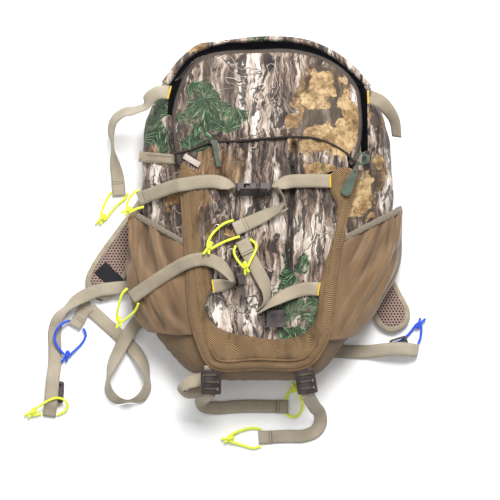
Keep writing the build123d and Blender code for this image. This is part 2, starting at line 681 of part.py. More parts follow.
KNOTS = {
    "a": (-241.6, -3.5, 6.2), "b": (-199, 7.5, 72), "c": (-77.7, -46.8, 130.5), "d": (-25, -75.8, 129.5),
    "e": (-214.6, -157.6, 53.4), "g": (50, -264.6, 6.2), "h": (-47.8, -339, 6.2),
}
with BuildPart() as knots_yellow:
    for knot_place in KNOTS.values():
        add(knot(knot_place))
save("knots_yellow", knots_yellow.part)
save("knot_belt", knot((-347.6, -299, 6.3)))
save("knot_left_strap", knot((-296, -211.6, 6.4)))
save("knot_right_strap", knot((238, -167, 6.2)))
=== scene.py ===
import math

import bmesh
import bpy
import numpy as np
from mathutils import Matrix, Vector, noise
from mathutils.bvhtree import BVHTree


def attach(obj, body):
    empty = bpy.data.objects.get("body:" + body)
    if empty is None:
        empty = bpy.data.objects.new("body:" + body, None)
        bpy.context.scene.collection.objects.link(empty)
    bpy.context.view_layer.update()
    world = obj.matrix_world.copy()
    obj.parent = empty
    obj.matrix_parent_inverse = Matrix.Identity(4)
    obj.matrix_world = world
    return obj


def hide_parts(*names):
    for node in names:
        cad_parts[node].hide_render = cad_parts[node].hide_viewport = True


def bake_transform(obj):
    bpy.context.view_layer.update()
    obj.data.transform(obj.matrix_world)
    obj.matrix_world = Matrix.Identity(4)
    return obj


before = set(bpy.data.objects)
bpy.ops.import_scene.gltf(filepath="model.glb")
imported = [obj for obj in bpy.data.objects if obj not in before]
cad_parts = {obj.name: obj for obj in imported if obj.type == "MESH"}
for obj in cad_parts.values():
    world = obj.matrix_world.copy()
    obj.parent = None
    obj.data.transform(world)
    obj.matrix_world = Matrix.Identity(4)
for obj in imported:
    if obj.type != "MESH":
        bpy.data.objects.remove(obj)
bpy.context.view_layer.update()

# Tables of places are in millimetres, as in the part; meshes are made in metres. Cord routes are in metres.
MM = 0.001
WEBBING_WIDTH = 20.0
WEBBING_THICKNESS = 1.5
STRAP_WIDTH = 55.0
STRAP_THICKNESS = 7.5
STRAP_Z = 8.0
TUBE_SIDES = 10
TACK_LENGTH, TACK_WIDTH, TACK_PITCH = 19.0, 3.2, 0.75
CORD_DIAMETER = 0.0038
BACK_Z, WIDEST_Z, FRONT_Z = 16.0, 45.0, 105.0
POCKET_RIM_Z, POCKET_TOP_Z = 107.0, 121.3
LID_TOP_Z = 119.0
ON_POCKET_Z = 123.6
SEAM_Y = -178.0

WIDEST = [
    (5, 262), (72, 255), (130, 225), (172, 180), (192, 130), (198, 60), (200, -10), (192, -80),
    (165, -140), (128, -190), (84, -240), (-10, -250), (-105, -238), (-150, -195), (-182, -140),
    (-190, -75), (-186, -10), (-182, 60), (-178, 130), (-160, 185), (-118, 232), (-60, 254),
]
FRONT = [
    (5, 246), (62, 243), (112, 222), (148, 188), (158, 130), (152, 75), (134, 20), (122, -30),
    (108, -110), (99, -185), (75, -224), (-5, -231), (-80, -226), (-98, -185), (-111, -120),
    (-114, -60), (-118, 0), (-123, 60), (-131, 125), (-120, 185), (-88, 230), (-50, 242),
]
BASE_SCALE = 0.97
LID_CURVE = [
    (134, 71), (142, 94), (146, 125), (145, 159), (140, 187), (127, 206), (95, 229), (57, 241), (-18, 242),
    (-58, 240), (-84, 234), (-111, 210), (-123, 184), (-132, 143), (-130, 109), (-124, 71),
]
POCKET_CURVE = [
    (-121, 66), (-117, 0), (-112, -70), (-109, -125), (-97, -185), (-78, -223), (-5, -228), (73, -221),
    (97, -185), (106, -112), (119, -32), (131, 18), (146, 66),
]
ZIP_CURVE = [
    (-130, 90), (-108, 95), (-75, 107), (-34, 109), (12, 113), (48, 115), (81, 112), (105, 103), (124, 91),
    (135, 79),
]


# Camera, floor and light --------------------------------------------------------------------------

PICTURE_WIDTH = 0.750
CAMERA_HEIGHT = 4.0
SEEN_HEIGHT = 0.06
VIEW_CENTRE = (-0.018, -0.0525)


def make_camera():
    data = bpy.data.cameras.new("camera")
    data.sensor_width = 36
    data.lens = data.sensor_width * (CAMERA_HEIGHT - SEEN_HEIGHT) / PICTURE_WIDTH
    data.clip_end = 50
    camera = bpy.data.objects.new("camera", data)
    camera.location = (*VIEW_CENTRE, CAMERA_HEIGHT)
    bpy.context.collection.objects.link(camera)
    bpy.context.scene.camera = camera


def area_light(name, place, size, energy):
    data = bpy.data.lights.new(name, "AREA")
    data.size = size
    data.energy = energy
    light = bpy.data.objects.new(name, data)
    light.location = place
    light.rotation_euler = (-Vector(place)).to_track_quat("-Z", "Y").to_euler()
    bpy.context.collection.objects.link(light)


# Materials ----------------------------------------------------------------------------------------

def rgb(red, green, blue):
    """A screen colour, 0 to 255, as the linear one that a shader takes."""
    channels = [c / 255 for c in (red, green, blue)]
    return tuple(c / 12.92 if c <= 0.04045 else ((c + 0.055) / 1.055) ** 2.4 for c in channels) + (1.0,)


class Finish:
    """A material and short ways to wire its nodes."""

    def __init__(self, name, roughness=0.8, **sockets):
        self.material = bpy.data.materials.new(name)
        self.material.use_nodes = True
        self.tree = self.material.node_tree
        self.shader = self.tree.nodes["Principled BSDF"]
        self.shader.inputs["Roughness"].default_value = roughness
        for socket, value in sockets.items():
            self.shader.inputs[socket.replace("_", " ")].default_value = value

    def node(self, kind, settings=(), **inputs):
        node = self.tree.nodes.new("ShaderNode" + kind)
        for key, value in dict(settings).items():
            setattr(node, key, value)
        for key, value in inputs.items():
            self.put(node.inputs[key.replace("_", " ")], value)
        return node

    def put(self, socket, value):
        if isinstance(value, bpy.types.NodeSocket):
            self.tree.links.new(value, socket)
        else:
            socket.default_value = value

    def place(self):
        """Where a point is on its piece, in metres."""
        return self.node("TexCoord").outputs["Object"]

    def lay(self):
        """Where a point is on its strip: across and along, in metres."""
        return self.node("Attribute", {"attribute_name": "lay"}).outputs["Vector"]

    def painted_fold_shade(self, high, low, most):
        """How much painted shade a point gets for lying down in a fold: 0 at the high level, most at the low
        one.
        """
        return self.step(self.split(self.lay())[2], high, low, 0.0, most)

    def math(self, operation, a, b=0.0, c=0.0):
        node = self.node("Math", {"operation": operation})
        for socket, value in zip(node.inputs, (a, b, c)):
            self.put(socket, value)
        return node.outputs[0]

    def plus(self, a, b):
        return self.math("ADD", a, b)

    def minus(self, a, b):
        return self.math("SUBTRACT", a, b)

    def times(self, a, b):
        return self.math("MULTIPLY", a, b)

    def ribs(self, value, pitch):
        """Rounded ribs, 0 to 1, at a pitch in metres."""
        return self.math("MULTIPLY_ADD", self.math("SINE", self.times(value, 2 * math.pi / pitch)), 0.5, 0.5)

    def vector(self, operation, a, b=(0, 0, 0), scale=None):
        node = self.node("VectorMath", {"operation": operation})
        self.put(node.inputs[0], a)
        self.put(node.inputs[1], b)
        if scale is not None:
            self.put(node.inputs["Scale"], scale)
        return node.outputs["Value" if operation in ("LENGTH", "DISTANCE", "DOT_PRODUCT") else "Vector"]

    def scaled(self, vector, x, y, z):
        return self.vector("MULTIPLY", vector, (x, y, z))

    def shifted(self, place, by, scale):
        return self.vector("ADD", place, self.vector("SCALE", by, scale=scale))

    def wander(self, place, scale, detail, roughness):
        """A random vector that changes smoothly from place to place, of about 0 on the whole."""
        cloud = self.noise(place, scale, detail, roughness, output="Color")
        return self.vector("SUBTRACT", cloud, (0.5, 0.5, 0.5))

    def split(self, vector):
        return self.node("SeparateXYZ", Vector=vector).outputs

    def join(self, x, y, z=0.0):
        return self.node("CombineXYZ", X=x, Y=y, Z=z).outputs[0]

    def noise(self, vector, scale, detail, roughness=0.5, distortion=0.0, output="Fac"):
        node = self.node(
            "TexNoise", Vector=vector, Scale=scale, Detail=detail, Roughness=roughness, Distortion=distortion
        )
        return node.outputs[output]

    def cells(self, vector, scale, feature="F1"):
        return self.node("TexVoronoi", {"feature": feature}, Vector=vector, Scale=scale).outputs

    def step(self, value, low, high, to_low=0.0, to_high=1.0):
        """A smooth step between two values; the low one may be the greater, which turns the step round."""
        node = self.node(
            "MapRange", {"interpolation_type": "SMOOTHSTEP"}, Value=value, From_Min=low, From_Max=high,
            To_Min=to_low, To_Max=to_high,
        )
        return node.outputs["Result"]

    def ramp(self, value, stops):
        node = self.node("ValToRGB", Fac=value)
        elements = node.color_ramp.elements
        while len(elements) < len(stops):
            elements.new(0.5)
        for element, (place, colour) in zip(elements, stops):
            element.position = place
            element.color = rgb(*colour)
        return node.outputs["Color"]

    def mix(self, share, a, b):
        node = self.node("Mix", {"data_type": "RGBA"})
        self.put(node.inputs[0], share)
        self.put(node.inputs[6], a)
        self.put(node.inputs[7], b)
        return node.outputs[2]

    def colour(self, value):
        self.put(self.shader.inputs["Base Color"], value)

    def bump(self, height, strength, distance):
        node = self.node("Bump", Height=height, Strength=strength, Distance=distance)
        self.put(self.shader.inputs["Normal"], node.outputs[0])

    def rough(self, value, low, high):
        self.put(self.shader.inputs["Roughness"], self.step(value, 0.2, 0.8, low, high))


def zone(finish, place, discs):
    """1 inside any of the soft-edged ovals and 0 outside; each is x, y, half width, half height in mm."""
    found = 0.0
    for x, y, wide, high in discs:
        away = finish.vector("SUBTRACT", place, (x * MM, y * MM, 0))
        away = finish.scaled(away, 1 / (wide * MM), 1 / (high * MM), 0)
        inside = finish.step(finish.vector("LENGTH", away), 1.15, 0.8)
        found = finish.math("MAXIMUM", found, inside)
    return found


NEEDLES = [
    (-92, 176, 26, 30), (-76, 142, 48, 26), (-98, 108, 30, 20), (-152, 160, 20, 26), (-158, 128, 24, 30),
    (-160, 104, 20, 12), (36, -92, 14, 30), (44, -128, 28, 24), (70, -150, 14, 28), (22, -152, 18, 16),
    (50, -172, 26, 14), (10, 262, 40, 5), (60, -66, 10, 18), (-30, 150, 14, 12),
]
LEAVES = [
    (92, 178, 42, 46), (112, 130, 42, 42), (62, 140, 32, 22), (80, 104, 40, 16), (156, 24, 20, 44),
    (172, 62, 12, 30), (-150, 84, 24, 12), (-142, 22, 18, 26), (134, 0, 12, 30), (-58, -32, 22, 16),
    (172, 146, 12, 20), (-96, 250, 16, 10), (84, 62, 22, 18),
]
EARTH = [(-56, 66, 34, 26), (-75, 86, 18, 16), (-92, 22, 10, 16), (-96, -8, 8, 14), (-66, 40, 16, 10)]
PALE = [
    (-12, 190, 34, 44), (4, 140, 30, 30), (-46, -142, 40, 34), (0, -150, 24, 30), (30, -20, 28, 24),
    (72, 92, 24, 16), (180, 96, 14, 14), (-165, 62, 22, 14), (80, -30, 18, 40), (190, 30, 12, 24),
]


def camo_fabric():
    """A print of bark, oak leaves, pine needles and twigs, made up from noise."""
    f = Finish("camo_fabric", 0.78, Sheen_Weight=0.08, Specular_IOR_Level=0.3)
    place = f.place()
    wander = f.wander(place, 26, 3, 0.55)
    bent = f.shifted(place, wander, 0.020)
    loose = f.shifted(place, wander, 0.060)

    # Bark: trunks and ridges along Y, broken by dark cracks and fine grain.
    along = f.scaled(bent, 1, 0.12, 0.6)
    ridges = f.noise(along, 120, 9, 0.70, 0.4)
    trunks = f.noise(f.scaled(bent, 1, 0.10, 0.5), 34, 3, 0.6)
    pale = f.times(zone(f, loose, PALE), 0.10)
    broad = f.times(f.minus(trunks, 0.53), 0.62)
    tone = f.plus(f.plus(ridges, pale), broad)
    bark = f.ramp(tone, [
        (0.30, (32, 26, 24)), (0.40, (82, 67, 58)), (0.48, (130, 112, 99)), (0.55, (170, 154, 140)),
        (0.63, (206, 194, 182)), (0.76, (236, 228, 219)),
    ])
    grain = f.noise(f.scaled(bent, 1, 0.07, 0.5), 420, 3, 0.6)
    bark = f.mix(f.step(grain, 0.57, 0.64, 0.0, 0.75), bark, rgb(58, 46, 44))
    bark = f.mix(f.step(f.math("ABSOLUTE", f.minus(trunks, 0.47)), 0.016, 0.006, 0.0, 0.85), bark,
                 rgb(30, 25, 26))
    crack_lines = f.cells(along, 52, "DISTANCE_TO_EDGE")["Distance"]
    crack_width = f.step(f.noise(f.scaled(place, 1, 0.5, 1), 60, 3), 0.42, 0.66, 0.0, 0.09)
    cracks = f.step(f.minus(crack_width, crack_lines), -0.012, 0.02)
    colour = f.mix(f.times(cracks, 0.92), bark, rgb(34, 28, 30))

    # Dark hollows and golden earth between the trees.
    hollow = f.step(f.noise(f.scaled(bent, 1, 0.5, 1), 30, 5, 0.65), 0.58, 0.66)
    colour = f.mix(f.times(hollow, 0.8), colour, f.mix(ridges, rgb(30, 24, 26), rgb(88, 74, 70)))
    earth = f.ramp(ridges, [(0.34, (54, 38, 26)), (0.48, (112, 84, 56)), (0.60, (154, 124, 88))])
    colour = f.mix(f.times(zone(f, loose, EARTH), 0.85), colour, earth)

    # Branches: dark lines with a pale upper side, in two leaning directions.
    for lean, seed in ((1.0, 0.0), (-0.8, 3.7)):
        x, y, z = f.split(bent)
        slanted = f.join(f.plus(f.times(x, 0.35), f.times(y, lean)), x, f.plus(z, seed))
        field = f.noise(slanted, 19, 2, 0.5, 0.7)
        off = f.minus(field, 0.5)
        here = f.step(f.noise(f.vector("ADD", place, (seed, 0, 0)), 14, 2), 0.49, 0.55)
        dark_side = f.step(f.math("ABSOLUTE", off), 0.016, 0.010)
        light_side = f.step(f.math("ABSOLUTE", f.minus(off, 0.010)), 0.005, 0.003)
        colour = f.mix(f.times(dark_side, f.times(here, 0.85)), colour, rgb(40, 34, 34))
        colour = f.mix(f.times(light_side, f.times(here, 0.8)), colour, rgb(206, 192, 178))

    # Oak leaves: lobed cells with a dark gap round each, veins and a shaded half.
    lobed = f.shifted(bent, f.wander(place, 72, 2, 0.5), 0.024)
    leaf = f.cells(f.scaled(lobed, 1, 0.78, 1), 21)
    spread = leaf["Distance"]
    tint = f.split(leaf["Color"])[0]
    leafy = f.plus(zone(f, loose, LEAVES), f.times(tint, 0.25))
    leaf_place = f.step(leafy, 0.52, 0.60)
    inside = f.times(f.step(spread, 0.60, 0.57), leaf_place)
    veins = f.cells(lobed, 95, "DISTANCE_TO_EDGE")["Distance"]
    leaf_tone = f.plus(f.noise(bent, 70, 6, 0.68), f.times(f.minus(tint, 0.5), 0.25))
    leaf_colour = f.ramp(leaf_tone, [
        (0.30, (58, 42, 28)), (0.42, (108, 82, 52)), (0.53, (148, 119, 80)), (0.68, (196, 168, 124)),
    ])
    leaf_colour = f.mix(f.step(veins, 0.05, 0.02, 0.0, 0.55), leaf_colour, rgb(88, 62, 38))
    behind = f.mix(ridges, rgb(24, 20, 20), rgb(96, 78, 60))
    colour = f.mix(f.times(leaf_place, 0.8), colour, behind)
    colour = f.mix(inside, colour, leaf_colour)
    rim = f.math("ABSOLUTE", f.minus(leafy, 0.53))
    colour = f.mix(f.step(rim, 0.045, 0.015, 0.0, 0.75), colour, rgb(44, 32, 24))

    # Pine needles: strokes that fan out from the middle of each cell, with gaps between them.
    tuft = f.cells(f.shifted(place, wander, 0.022), 24)
    out = f.split(f.vector("SUBTRACT", place, tuft["Position"]))
    turn = f.math("ARCTAN2", out[1], out[0])
    strokes = f.noise(f.join(f.times(turn, 15.0), f.times(tuft["Distance"], 2.5),
                             f.times(f.split(tuft["Color"])[0], 40.0)), 1.0, 3, 0.7)
    green = f.ramp(strokes, [
        (0.42, (7, 12, 9)), (0.49, (22, 44, 28)), (0.55, (44, 82, 50)), (0.61, (84, 120, 78)),
        (0.68, (168, 184, 150)),
    ])
    patchy = f.minus(f.noise(place, 48, 4, 0.6), 0.5)
    ragged = f.plus(f.plus(zone(f, loose, NEEDLES), f.times(patchy, 2.6)),
                    f.times(f.minus(strokes, 0.52), 1.8))
    colour = f.mix(f.step(ragged, 0.60, 0.84), colour, green)

    worn = f.step(f.noise(place, 9, 3), 0.35, 0.75, 0.0, 0.07)
    colour = f.mix(worn, colour, rgb(205, 190, 176))
    # Painted shade: darker down in the folds, by the fold depth kept in lay.
    f.colour(f.mix(f.painted_fold_shade(-0.0015, -0.009, 0.7), colour, rgb(24, 19, 20)))
    f.bump(f.noise(place, 1500, 2), 0.25, 0.0003)
    f.rough(ridges, 0.7, 0.86)
    return f.material


def woven(name, dark, light, wear, pitch=0.0016):
    """Webbing: cross ribs and a herringbone, with its selvedges darker and its tone uneven."""
    f = Finish(name, 0.8, Sheen_Weight=0.2, Specular_IOR_Level=0.25)
    across, along, _ = f.split(f.lay())
    place = f.place()
    zigzag = f.math("PINGPONG", across, 0.0025)
    ribs = f.ribs(f.plus(along, zigzag), pitch)
    fibres = f.noise(f.join(f.times(across, 3.0), along), 900, 3, 0.6)
    cloud = f.noise(place, 35, 4)
    tone = f.plus(f.times(ribs, 0.30), f.times(f.plus(fibres, cloud), 0.42))
    colour = f.ramp(tone, [(0.22, dark), (0.72, light)])
    edge = f.step(f.math("ABSOLUTE", across), 0.0078, 0.0098)
    colour = f.mix(f.times(edge, 0.35), colour, rgb(*dark))
    rubbed = f.step(f.noise(place, 18, 3), 0.55, 0.75, 0.0, 0.35)
    f.colour(f.mix(rubbed, colour, rgb(*wear)))
    f.bump(f.plus(ribs, f.times(fibres, 0.6)), 0.6, 0.0004)
    f.rough(fibres, 0.72, 0.88)
    return f.material


def ribbed_elastic():
    """Pocket elastic: raised ribs along its length, crossed by fine gathers."""
    f = Finish("ribbed_elastic", 0.85, Sheen_Weight=0.2)
    across, along, _ = f.split(f.lay())
    ribs = f.ribs(across, 0.0022)
    gathers = f.noise(f.join(f.times(across, 0.3), along), 700, 2)
    f.colour(f.ramp(f.plus(f.times(ribs, 0.6), f.times(gathers, 0.4)),
                    [(0.2, (84, 74, 62)), (0.55, (126, 114, 96)), (0.85, (164, 152, 132))]))
    f.bump(f.plus(ribs, gathers), 0.8, 0.0007)
    return f.material


def twill(name, dark, light):
    """Brown pack cloth with a diagonal rib."""
    f = Finish(name, 0.82, Sheen_Weight=0.15, Specular_IOR_Level=0.3)
    place = f.place()
    x, y, z = f.split(place)
    slope = f.plus(f.plus(f.times(x, 0.8), y), f.times(z, 0.9))
    ribs = f.ribs(slope, 0.0030)
    cloud = f.noise(place, 22, 5, 0.6)
    threads = f.noise(place, 900, 2)
    tone = f.plus(f.times(ribs, 0.5), f.times(f.plus(cloud, threads), 0.27))
    colour = f.ramp(tone, [(0.25, dark), (0.8, light)])
    colour = f.mix(f.step(f.noise(place, 60, 4), 0.58, 0.8, 0.0, 0.2), colour, rgb(176, 146, 106))
    # Painted shade: darker down in the folds, by the fold depth kept in lay.
    f.colour(f.mix(f.painted_fold_shade(-0.001, -0.007, 0.6), colour, rgb(52, 38, 26)))
    f.bump(f.plus(ribs, f.times(threads, 0.4)), 0.8, 0.0009)
    f.rough(cloud, 0.74, 0.9)
    return f.material


def stretch_nylon():
    """The side pockets' smooth brown knit."""
    f = Finish("stretch_nylon", 0.6, Sheen_Weight=0.3, Sheen_Roughness=0.4, Specular_IOR_Level=0.4)
    place = f.place()
    cloud = f.noise(f.scaled(place, 1, 0.4, 1), 26, 4)
    knit = f.noise(place, 1300, 2)
    tone = f.plus(f.times(cloud, 0.7), f.times(knit, 0.3))
    cloth_colour = f.ramp(tone, [(0.25, (94, 72, 50)), (0.5, (122, 96, 68)), (0.75, (150, 121, 88))])
    # Painted shade: darker down in the folds, by how far the cloth stands out (lay).
    f.colour(f.mix(f.painted_fold_shade(0.0006, -0.0034, 0.55), cloth_colour, rgb(70, 51, 34)))
    f.bump(knit, 0.35, 0.0003)
    f.rough(cloud, 0.5, 0.7)
    return f.material


def hex_mesh():
    """Spacer mesh: pinkish brown net with six-sided holes, painted dark as the shade down in them."""
    f = Finish("hex_mesh", 0.9, Sheen_Weight=0.2)
    x, y, _ = f.split(f.place())
    cell = 0.0048
    tall = cell * math.sqrt(3)
    nearest = None
    for shift in (0.0, 0.5):
        away_x = f.math("WRAP", f.plus(x, shift * cell), cell / 2, -cell / 2)
        away_y = f.math("WRAP", f.plus(y, shift * tall), tall / 2, -tall / 2)
        distance = f.vector("LENGTH", f.join(away_x, away_y))
        nearest = distance if nearest is None else f.math("MINIMUM", nearest, distance)
    shaded_hole = f.step(nearest, 0.0017, 0.0012)
    yarn = f.noise(f.place(), 1200, 3)
    net = f.ramp(yarn, [(0.3, (128, 104, 96)), (0.7, (178, 152, 140))])
    # The holes' dark colour is painted shade, down in the holes.
    f.colour(f.mix(shaded_hole, net, rgb(52, 36, 32)))
    f.bump(f.plus(f.times(shaded_hole, -1.0), f.times(yarn, 0.2)), 0.9, 0.0012)
    return f.material


def plain_cloth(name, dark, light, roughness=0.85, scale=1400, shine=0.3):
    """A fine weave in two close tones, such as lining, binding, tape or thread."""
    f = Finish(name, roughness, Sheen_Weight=shine / 2, Specular_IOR_Level=shine)
    place = f.place()
    x, y, z = f.split(place)
    warp = f.math("SINE", f.times(f.plus(x, z), scale * 4))
    weft = f.math("SINE", f.times(y, scale * 4))
    weave = f.math("MULTIPLY_ADD", f.times(warp, weft), 0.5, 0.5)
    cloud = f.noise(place, 45, 5, 0.6)
    tone = f.plus(f.times(weave, 0.3), f.times(cloud, 0.7))
    f.colour(f.ramp(tone, [(0.3, dark), (0.7, light)]))
    f.bump(weave, 0.5, 0.0004)
    f.rough(cloud, roughness - 0.1, roughness + 0.08)
    return f.material


def braided(name, dark, light):
    """Cord sheath: small crossing strands."""
    f = Finish(name, 0.55, Sheen_Weight=0.2)
    place = f.place()
    strands = f.cells(place, 950)["Distance"]
    cloud = f.noise(place, 120, 3)
    f.colour(f.ramp(f.plus(f.times(strands, 0.45), f.times(cloud, 0.5)), [(0.3, light), (0.75, dark)]))
    f.bump(strands, 0.7, 0.0005)
    f.rough(cloud, 0.45, 0.65)
    return f.material


def moulded(name, dark, light, roughness=0.42):
    """Moulded plastic or rubber: fine grain, worn paler in places."""
    f = Finish(name, roughness, Specular_IOR_Level=0.35)
    place = f.place()
    grain = f.noise(place, 2200, 3)
    wear = f.noise(place, 70, 5, 0.65)
    f.colour(f.ramp(f.plus(f.times(wear, 0.7), f.times(grain, 0.3)), [(0.35, dark), (0.65, light)]))
    f.bump(grain, 0.35, 0.0002)
    f.rough(wear, roughness - 0.1, roughness + 0.18)
    return f.material


def steel():
    """Bright drawn wire with faint marks."""
    f = Finish("steel_wire", 0.28, Metallic=1.0)
    marks = f.noise(f.place(), 400, 4)
    f.colour(f.ramp(marks, [(0.3, (176, 186, 196)), (0.7, (226, 234, 242))]))
    f.bump(marks, 0.2, 0.0002)
    f.rough(marks, 0.2, 0.4)
    return f.material


def pale_floor():
    """The white table that the pack lies on."""
    f = Finish("pale_floor", 0.9)
    f.colour(f.ramp(f.noise(f.place(), 3, 2), [(0.3, (250, 250, 250)), (0.7, (253, 253, 253))]))
    return f.material


CAMO = camo_fabric()
WEBBING = woven("webbing", (118, 107, 90), (172, 160, 139), (188, 178, 159))
PALE_WEBBING = woven("pale_webbing", (128, 117, 100), (184, 173, 153), (200, 191, 174))
ELASTIC = ribbed_elastic()
BLACK_ELASTIC = woven("black_elastic", (14, 14, 17), (38, 38, 42), (48, 48, 52), 0.0022)
TWILL = twill("brown_twill", (66, 47, 29), (164, 133, 94))
BASE_TWILL = twill("base_twill", (64, 47, 30), (152, 123, 88))
NYLON = stretch_nylon()
MESH = hex_mesh()
BINDING = plain_cloth("strap_binding", (140, 128, 107), (184, 172, 151))
LID_BINDING = plain_cloth("lid_binding_tape", (54, 46, 42), (94, 82, 74))
DARK_TAPE = plain_cloth("dark_tape", (30, 25, 24), (62, 52, 48))
# Black lining. Its colour is pushed to near black, so where it shows in the bag's mouth and in the corners by
# the lid it also paints the shade in those gaps.
LINING = plain_cloth("black_lining", (3, 3, 4), (14, 14, 17), 0.9, shine=0.04)
PIPING = plain_cloth("piping", (92, 68, 44), (140, 110, 76))
YELLOW_THREAD = plain_cloth("yellow_thread", (206, 164, 30), (246, 214, 76), 0.6)
BROWN_THREAD = plain_cloth("brown_thread", (96, 76, 54), (138, 114, 86), 0.7)
HEM_THREAD = plain_cloth("hem_thread", (58, 47, 38), (92, 78, 64), 0.7)
NEON = braided("neon_cord", (206, 226, 12), (246, 255, 74))
BLUE = braided("blue_cord", (8, 48, 178), (28, 98, 238))
BUCKLE = moulded("buckle_plastic", (44, 38, 38), (84, 75, 74))
PULL = moulded("pull_rubber", (50, 62, 54), (86, 102, 89), 0.6)
SLIDER = moulded("slider_metal", (52, 50, 48), (96, 92, 86), 0.35)
BOARD = moulded("frame_board", (40, 40, 42), (70, 70, 74), 0.6)
LABEL = plain_cloth("label_cloth", (92, 78, 68), (212, 200, 188), 0.8, 500)
STEEL = steel()


# Shape helpers ------------------------------------------------------------------------------------

def smooth(points, count, closed=False):
    """Points on a smooth curve through the given ones; further columns, such as a lean, go along."""
    p = np.array(points, float)
    if closed:
        p = np.vstack([p, p[:1]])
    gaps = np.linalg.norm(np.diff(p[:, :3], axis=0), axis=1)
    slopes = np.diff(p, axis=0) / gaps[:, None]
    tangents = np.empty_like(p)
    weight = gaps[:-1, None] + gaps[1:, None]
    tangents[1:-1] = (slopes[:-1] * gaps[1:, None] + slopes[1:] * gaps[:-1, None]) / weight
    tangents[0], tangents[-1] = slopes[0], slopes[-1]
    if closed:
        tangents[0] = (slopes[-1] * gaps[0] + slopes[0] * gaps[-1]) / (gaps[0] + gaps[-1])
        tangents[-1] = tangents[0]
    starts = np.concatenate([[0], np.cumsum(gaps)])
    at = np.linspace(0, starts[-1], count + 1 if closed else count)
    i = np.clip(np.searchsorted(starts, at, side="right") - 1, 0, len(gaps) - 1)
    h = gaps[i][:, None]
    u = ((at - starts[i]) / gaps[i])[:, None]
    made = (
        (2 * u**3 - 3 * u**2 + 1) * p[i] + (u**3 - 2 * u**2 + u) * h * tangents[i]
        + (3 * u**2 - 2 * u**3) * p[i + 1] + (u**3 - u**2) * h * tangents[i + 1]
    )
    return made[:-1] if closed else made


def unit(vectors):
    """The vectors, each at length 1."""
    return vectors / np.maximum(np.linalg.norm(vectors, axis=-1), 1e-9)[..., None]


def gone_along(points):
    """The length gone at each point of a line."""
    return np.concatenate([[0], np.cumsum(np.linalg.norm(np.diff(points, axis=0), axis=1))])


def inward(points, distance):
    """A plan outline, of either direction, with each point moved in by the distance."""
    p = np.array(points, float)
    along = unit((np.roll(p, -1, 0) - np.roll(p, 1, 0))[:, :2])
    area = np.sum(p[:, 0] * np.roll(p[:, 1], -1) - np.roll(p[:, 0], -1) * p[:, 1])
    side = np.stack([-along[:, 1], along[:, 0]], 1) * np.sign(area)
    moved = p.copy()
    moved[:, :2] += side * np.reshape(distance, (-1, 1))
    return moved


def lift(plan, z):
    """Plan points with a height each."""
    plan = np.asarray(plan, float)[..., :2]
    return np.concatenate([plan, np.broadcast_to(np.asarray(z, float), plan.shape[:-1])[..., None]], axis=-1)


def rough_noise(points, scale, seed, detail=3):
    """Smooth noise, about -1 to 1, at millimetre points; scale is the size of a lump along each axis."""
    scaled = np.asarray(points, float) / np.asarray(scale, float)
    flat = scaled.reshape(-1, 3)
    values = [noise.fractal(Vector((x + seed, y - seed, z + 2 * seed)), 1.0, 2.0, detail) for x, y, z in flat]
    return np.array(values).reshape(scaled.shape[:-1])


def make(name, verts, faces, material, body, replaces=(), slot=None, lay=None):
    """A mesh piece from millimetre points, riding on a body; lay is kept at each point for its material.

    It holds how far the point is across and along its strip, and how far out of a fold it lies, which sets
    the painted shade in the folds.
    """
    mesh = bpy.data.meshes.new(name)
    points = np.asarray(verts, float).reshape(-1, 3) * MM
    mesh.from_pydata(points.tolist(), [], [tuple(int(v) for v in face) for face in faces])
    if lay is not None:
        attribute = mesh.attributes.new("lay", "FLOAT_VECTOR", "POINT")
        attribute.data.foreach_set("vector", (np.asarray(lay, float).reshape(-1, 3) * MM).ravel())
    mesh.polygons.foreach_set("use_smooth", [True] * len(mesh.polygons))
    mesh.update()
    piece = bpy.data.objects.new(name, mesh)
    bpy.context.collection.objects.link(piece)
    for each in material if isinstance(material, (list, tuple)) else [material]:
        mesh.materials.append(each)
    if body:
        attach(piece, body)
    if replaces:
        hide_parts(*replaces)
    return piece


def grid_faces(rows, columns, wrap_columns=False, wrap_rows=False, start=0):
    """Four-sided faces between neighbouring points of a grid, numbered row by row from start."""
    faces = []
    for i in range(rows if wrap_rows else rows - 1):
        below = (i + 1) % rows
        for j in range(columns if wrap_columns else columns - 1):
            beside = (j + 1) % columns
            faces.append((
                start + i * columns + j, start + i * columns + beside,
                start + below * columns + beside, start + below * columns + j,
            ))
    return faces


def end_faces(rows, columns, start=0):
    """The two faces that close the ends of a grid rolled into a tube."""
    first = range(start, start + columns)
    last = range(start + (rows - 1) * columns, start + rows * columns)
    return [tuple(first)[::-1], tuple(last)]


def face_out(piece):
    """Turns every face of a closed piece outward."""
    made = bmesh.new()
    made.from_mesh(piece.data)
    bmesh.ops.recalc_face_normals(made, faces=made.faces)
    made.to_mesh(piece.data)
    made.free()
    return piece


def apply_modifiers(piece):
    """Puts the piece's modifiers into its mesh."""
    bpy.context.view_layer.update()
    graph = bpy.context.evaluated_depsgraph_get()
    seen = piece.evaluated_get(graph)
    mesh = bpy.data.meshes.new_from_object(seen, preserve_all_data_layers=True, depsgraph=graph)
    piece.modifiers.clear()
    piece.data = mesh
    return piece


def thicken(piece, thickness, inner=None):
    """Gives a sheet its thickness on the under side; inner is the material of that side."""
    modifier = piece.modifiers.new("thickness", "SOLIDIFY")
    modifier.thickness = thickness * MM
    modifier.offset = -1
    if inner:
        piece.data.materials.append(inner)
        modifier.material_offset = 1
    return apply_modifiers(piece)


def cloth(name, grid, material, body, thickness, inner=None, **more):
    """A fabric sheet over a grid of points, facing up or outward."""
    grid = np.asarray(grid, float)
    piece = make(name, grid, grid_faces(*grid.shape[:2]), material, body, **more)
    face_out(piece)
    middle = piece.data.polygons[len(piece.data.polygons) // 2]
    if middle.normal.z < 0:
        piece.data.flip_normals()
    return thicken(piece, thickness, inner)


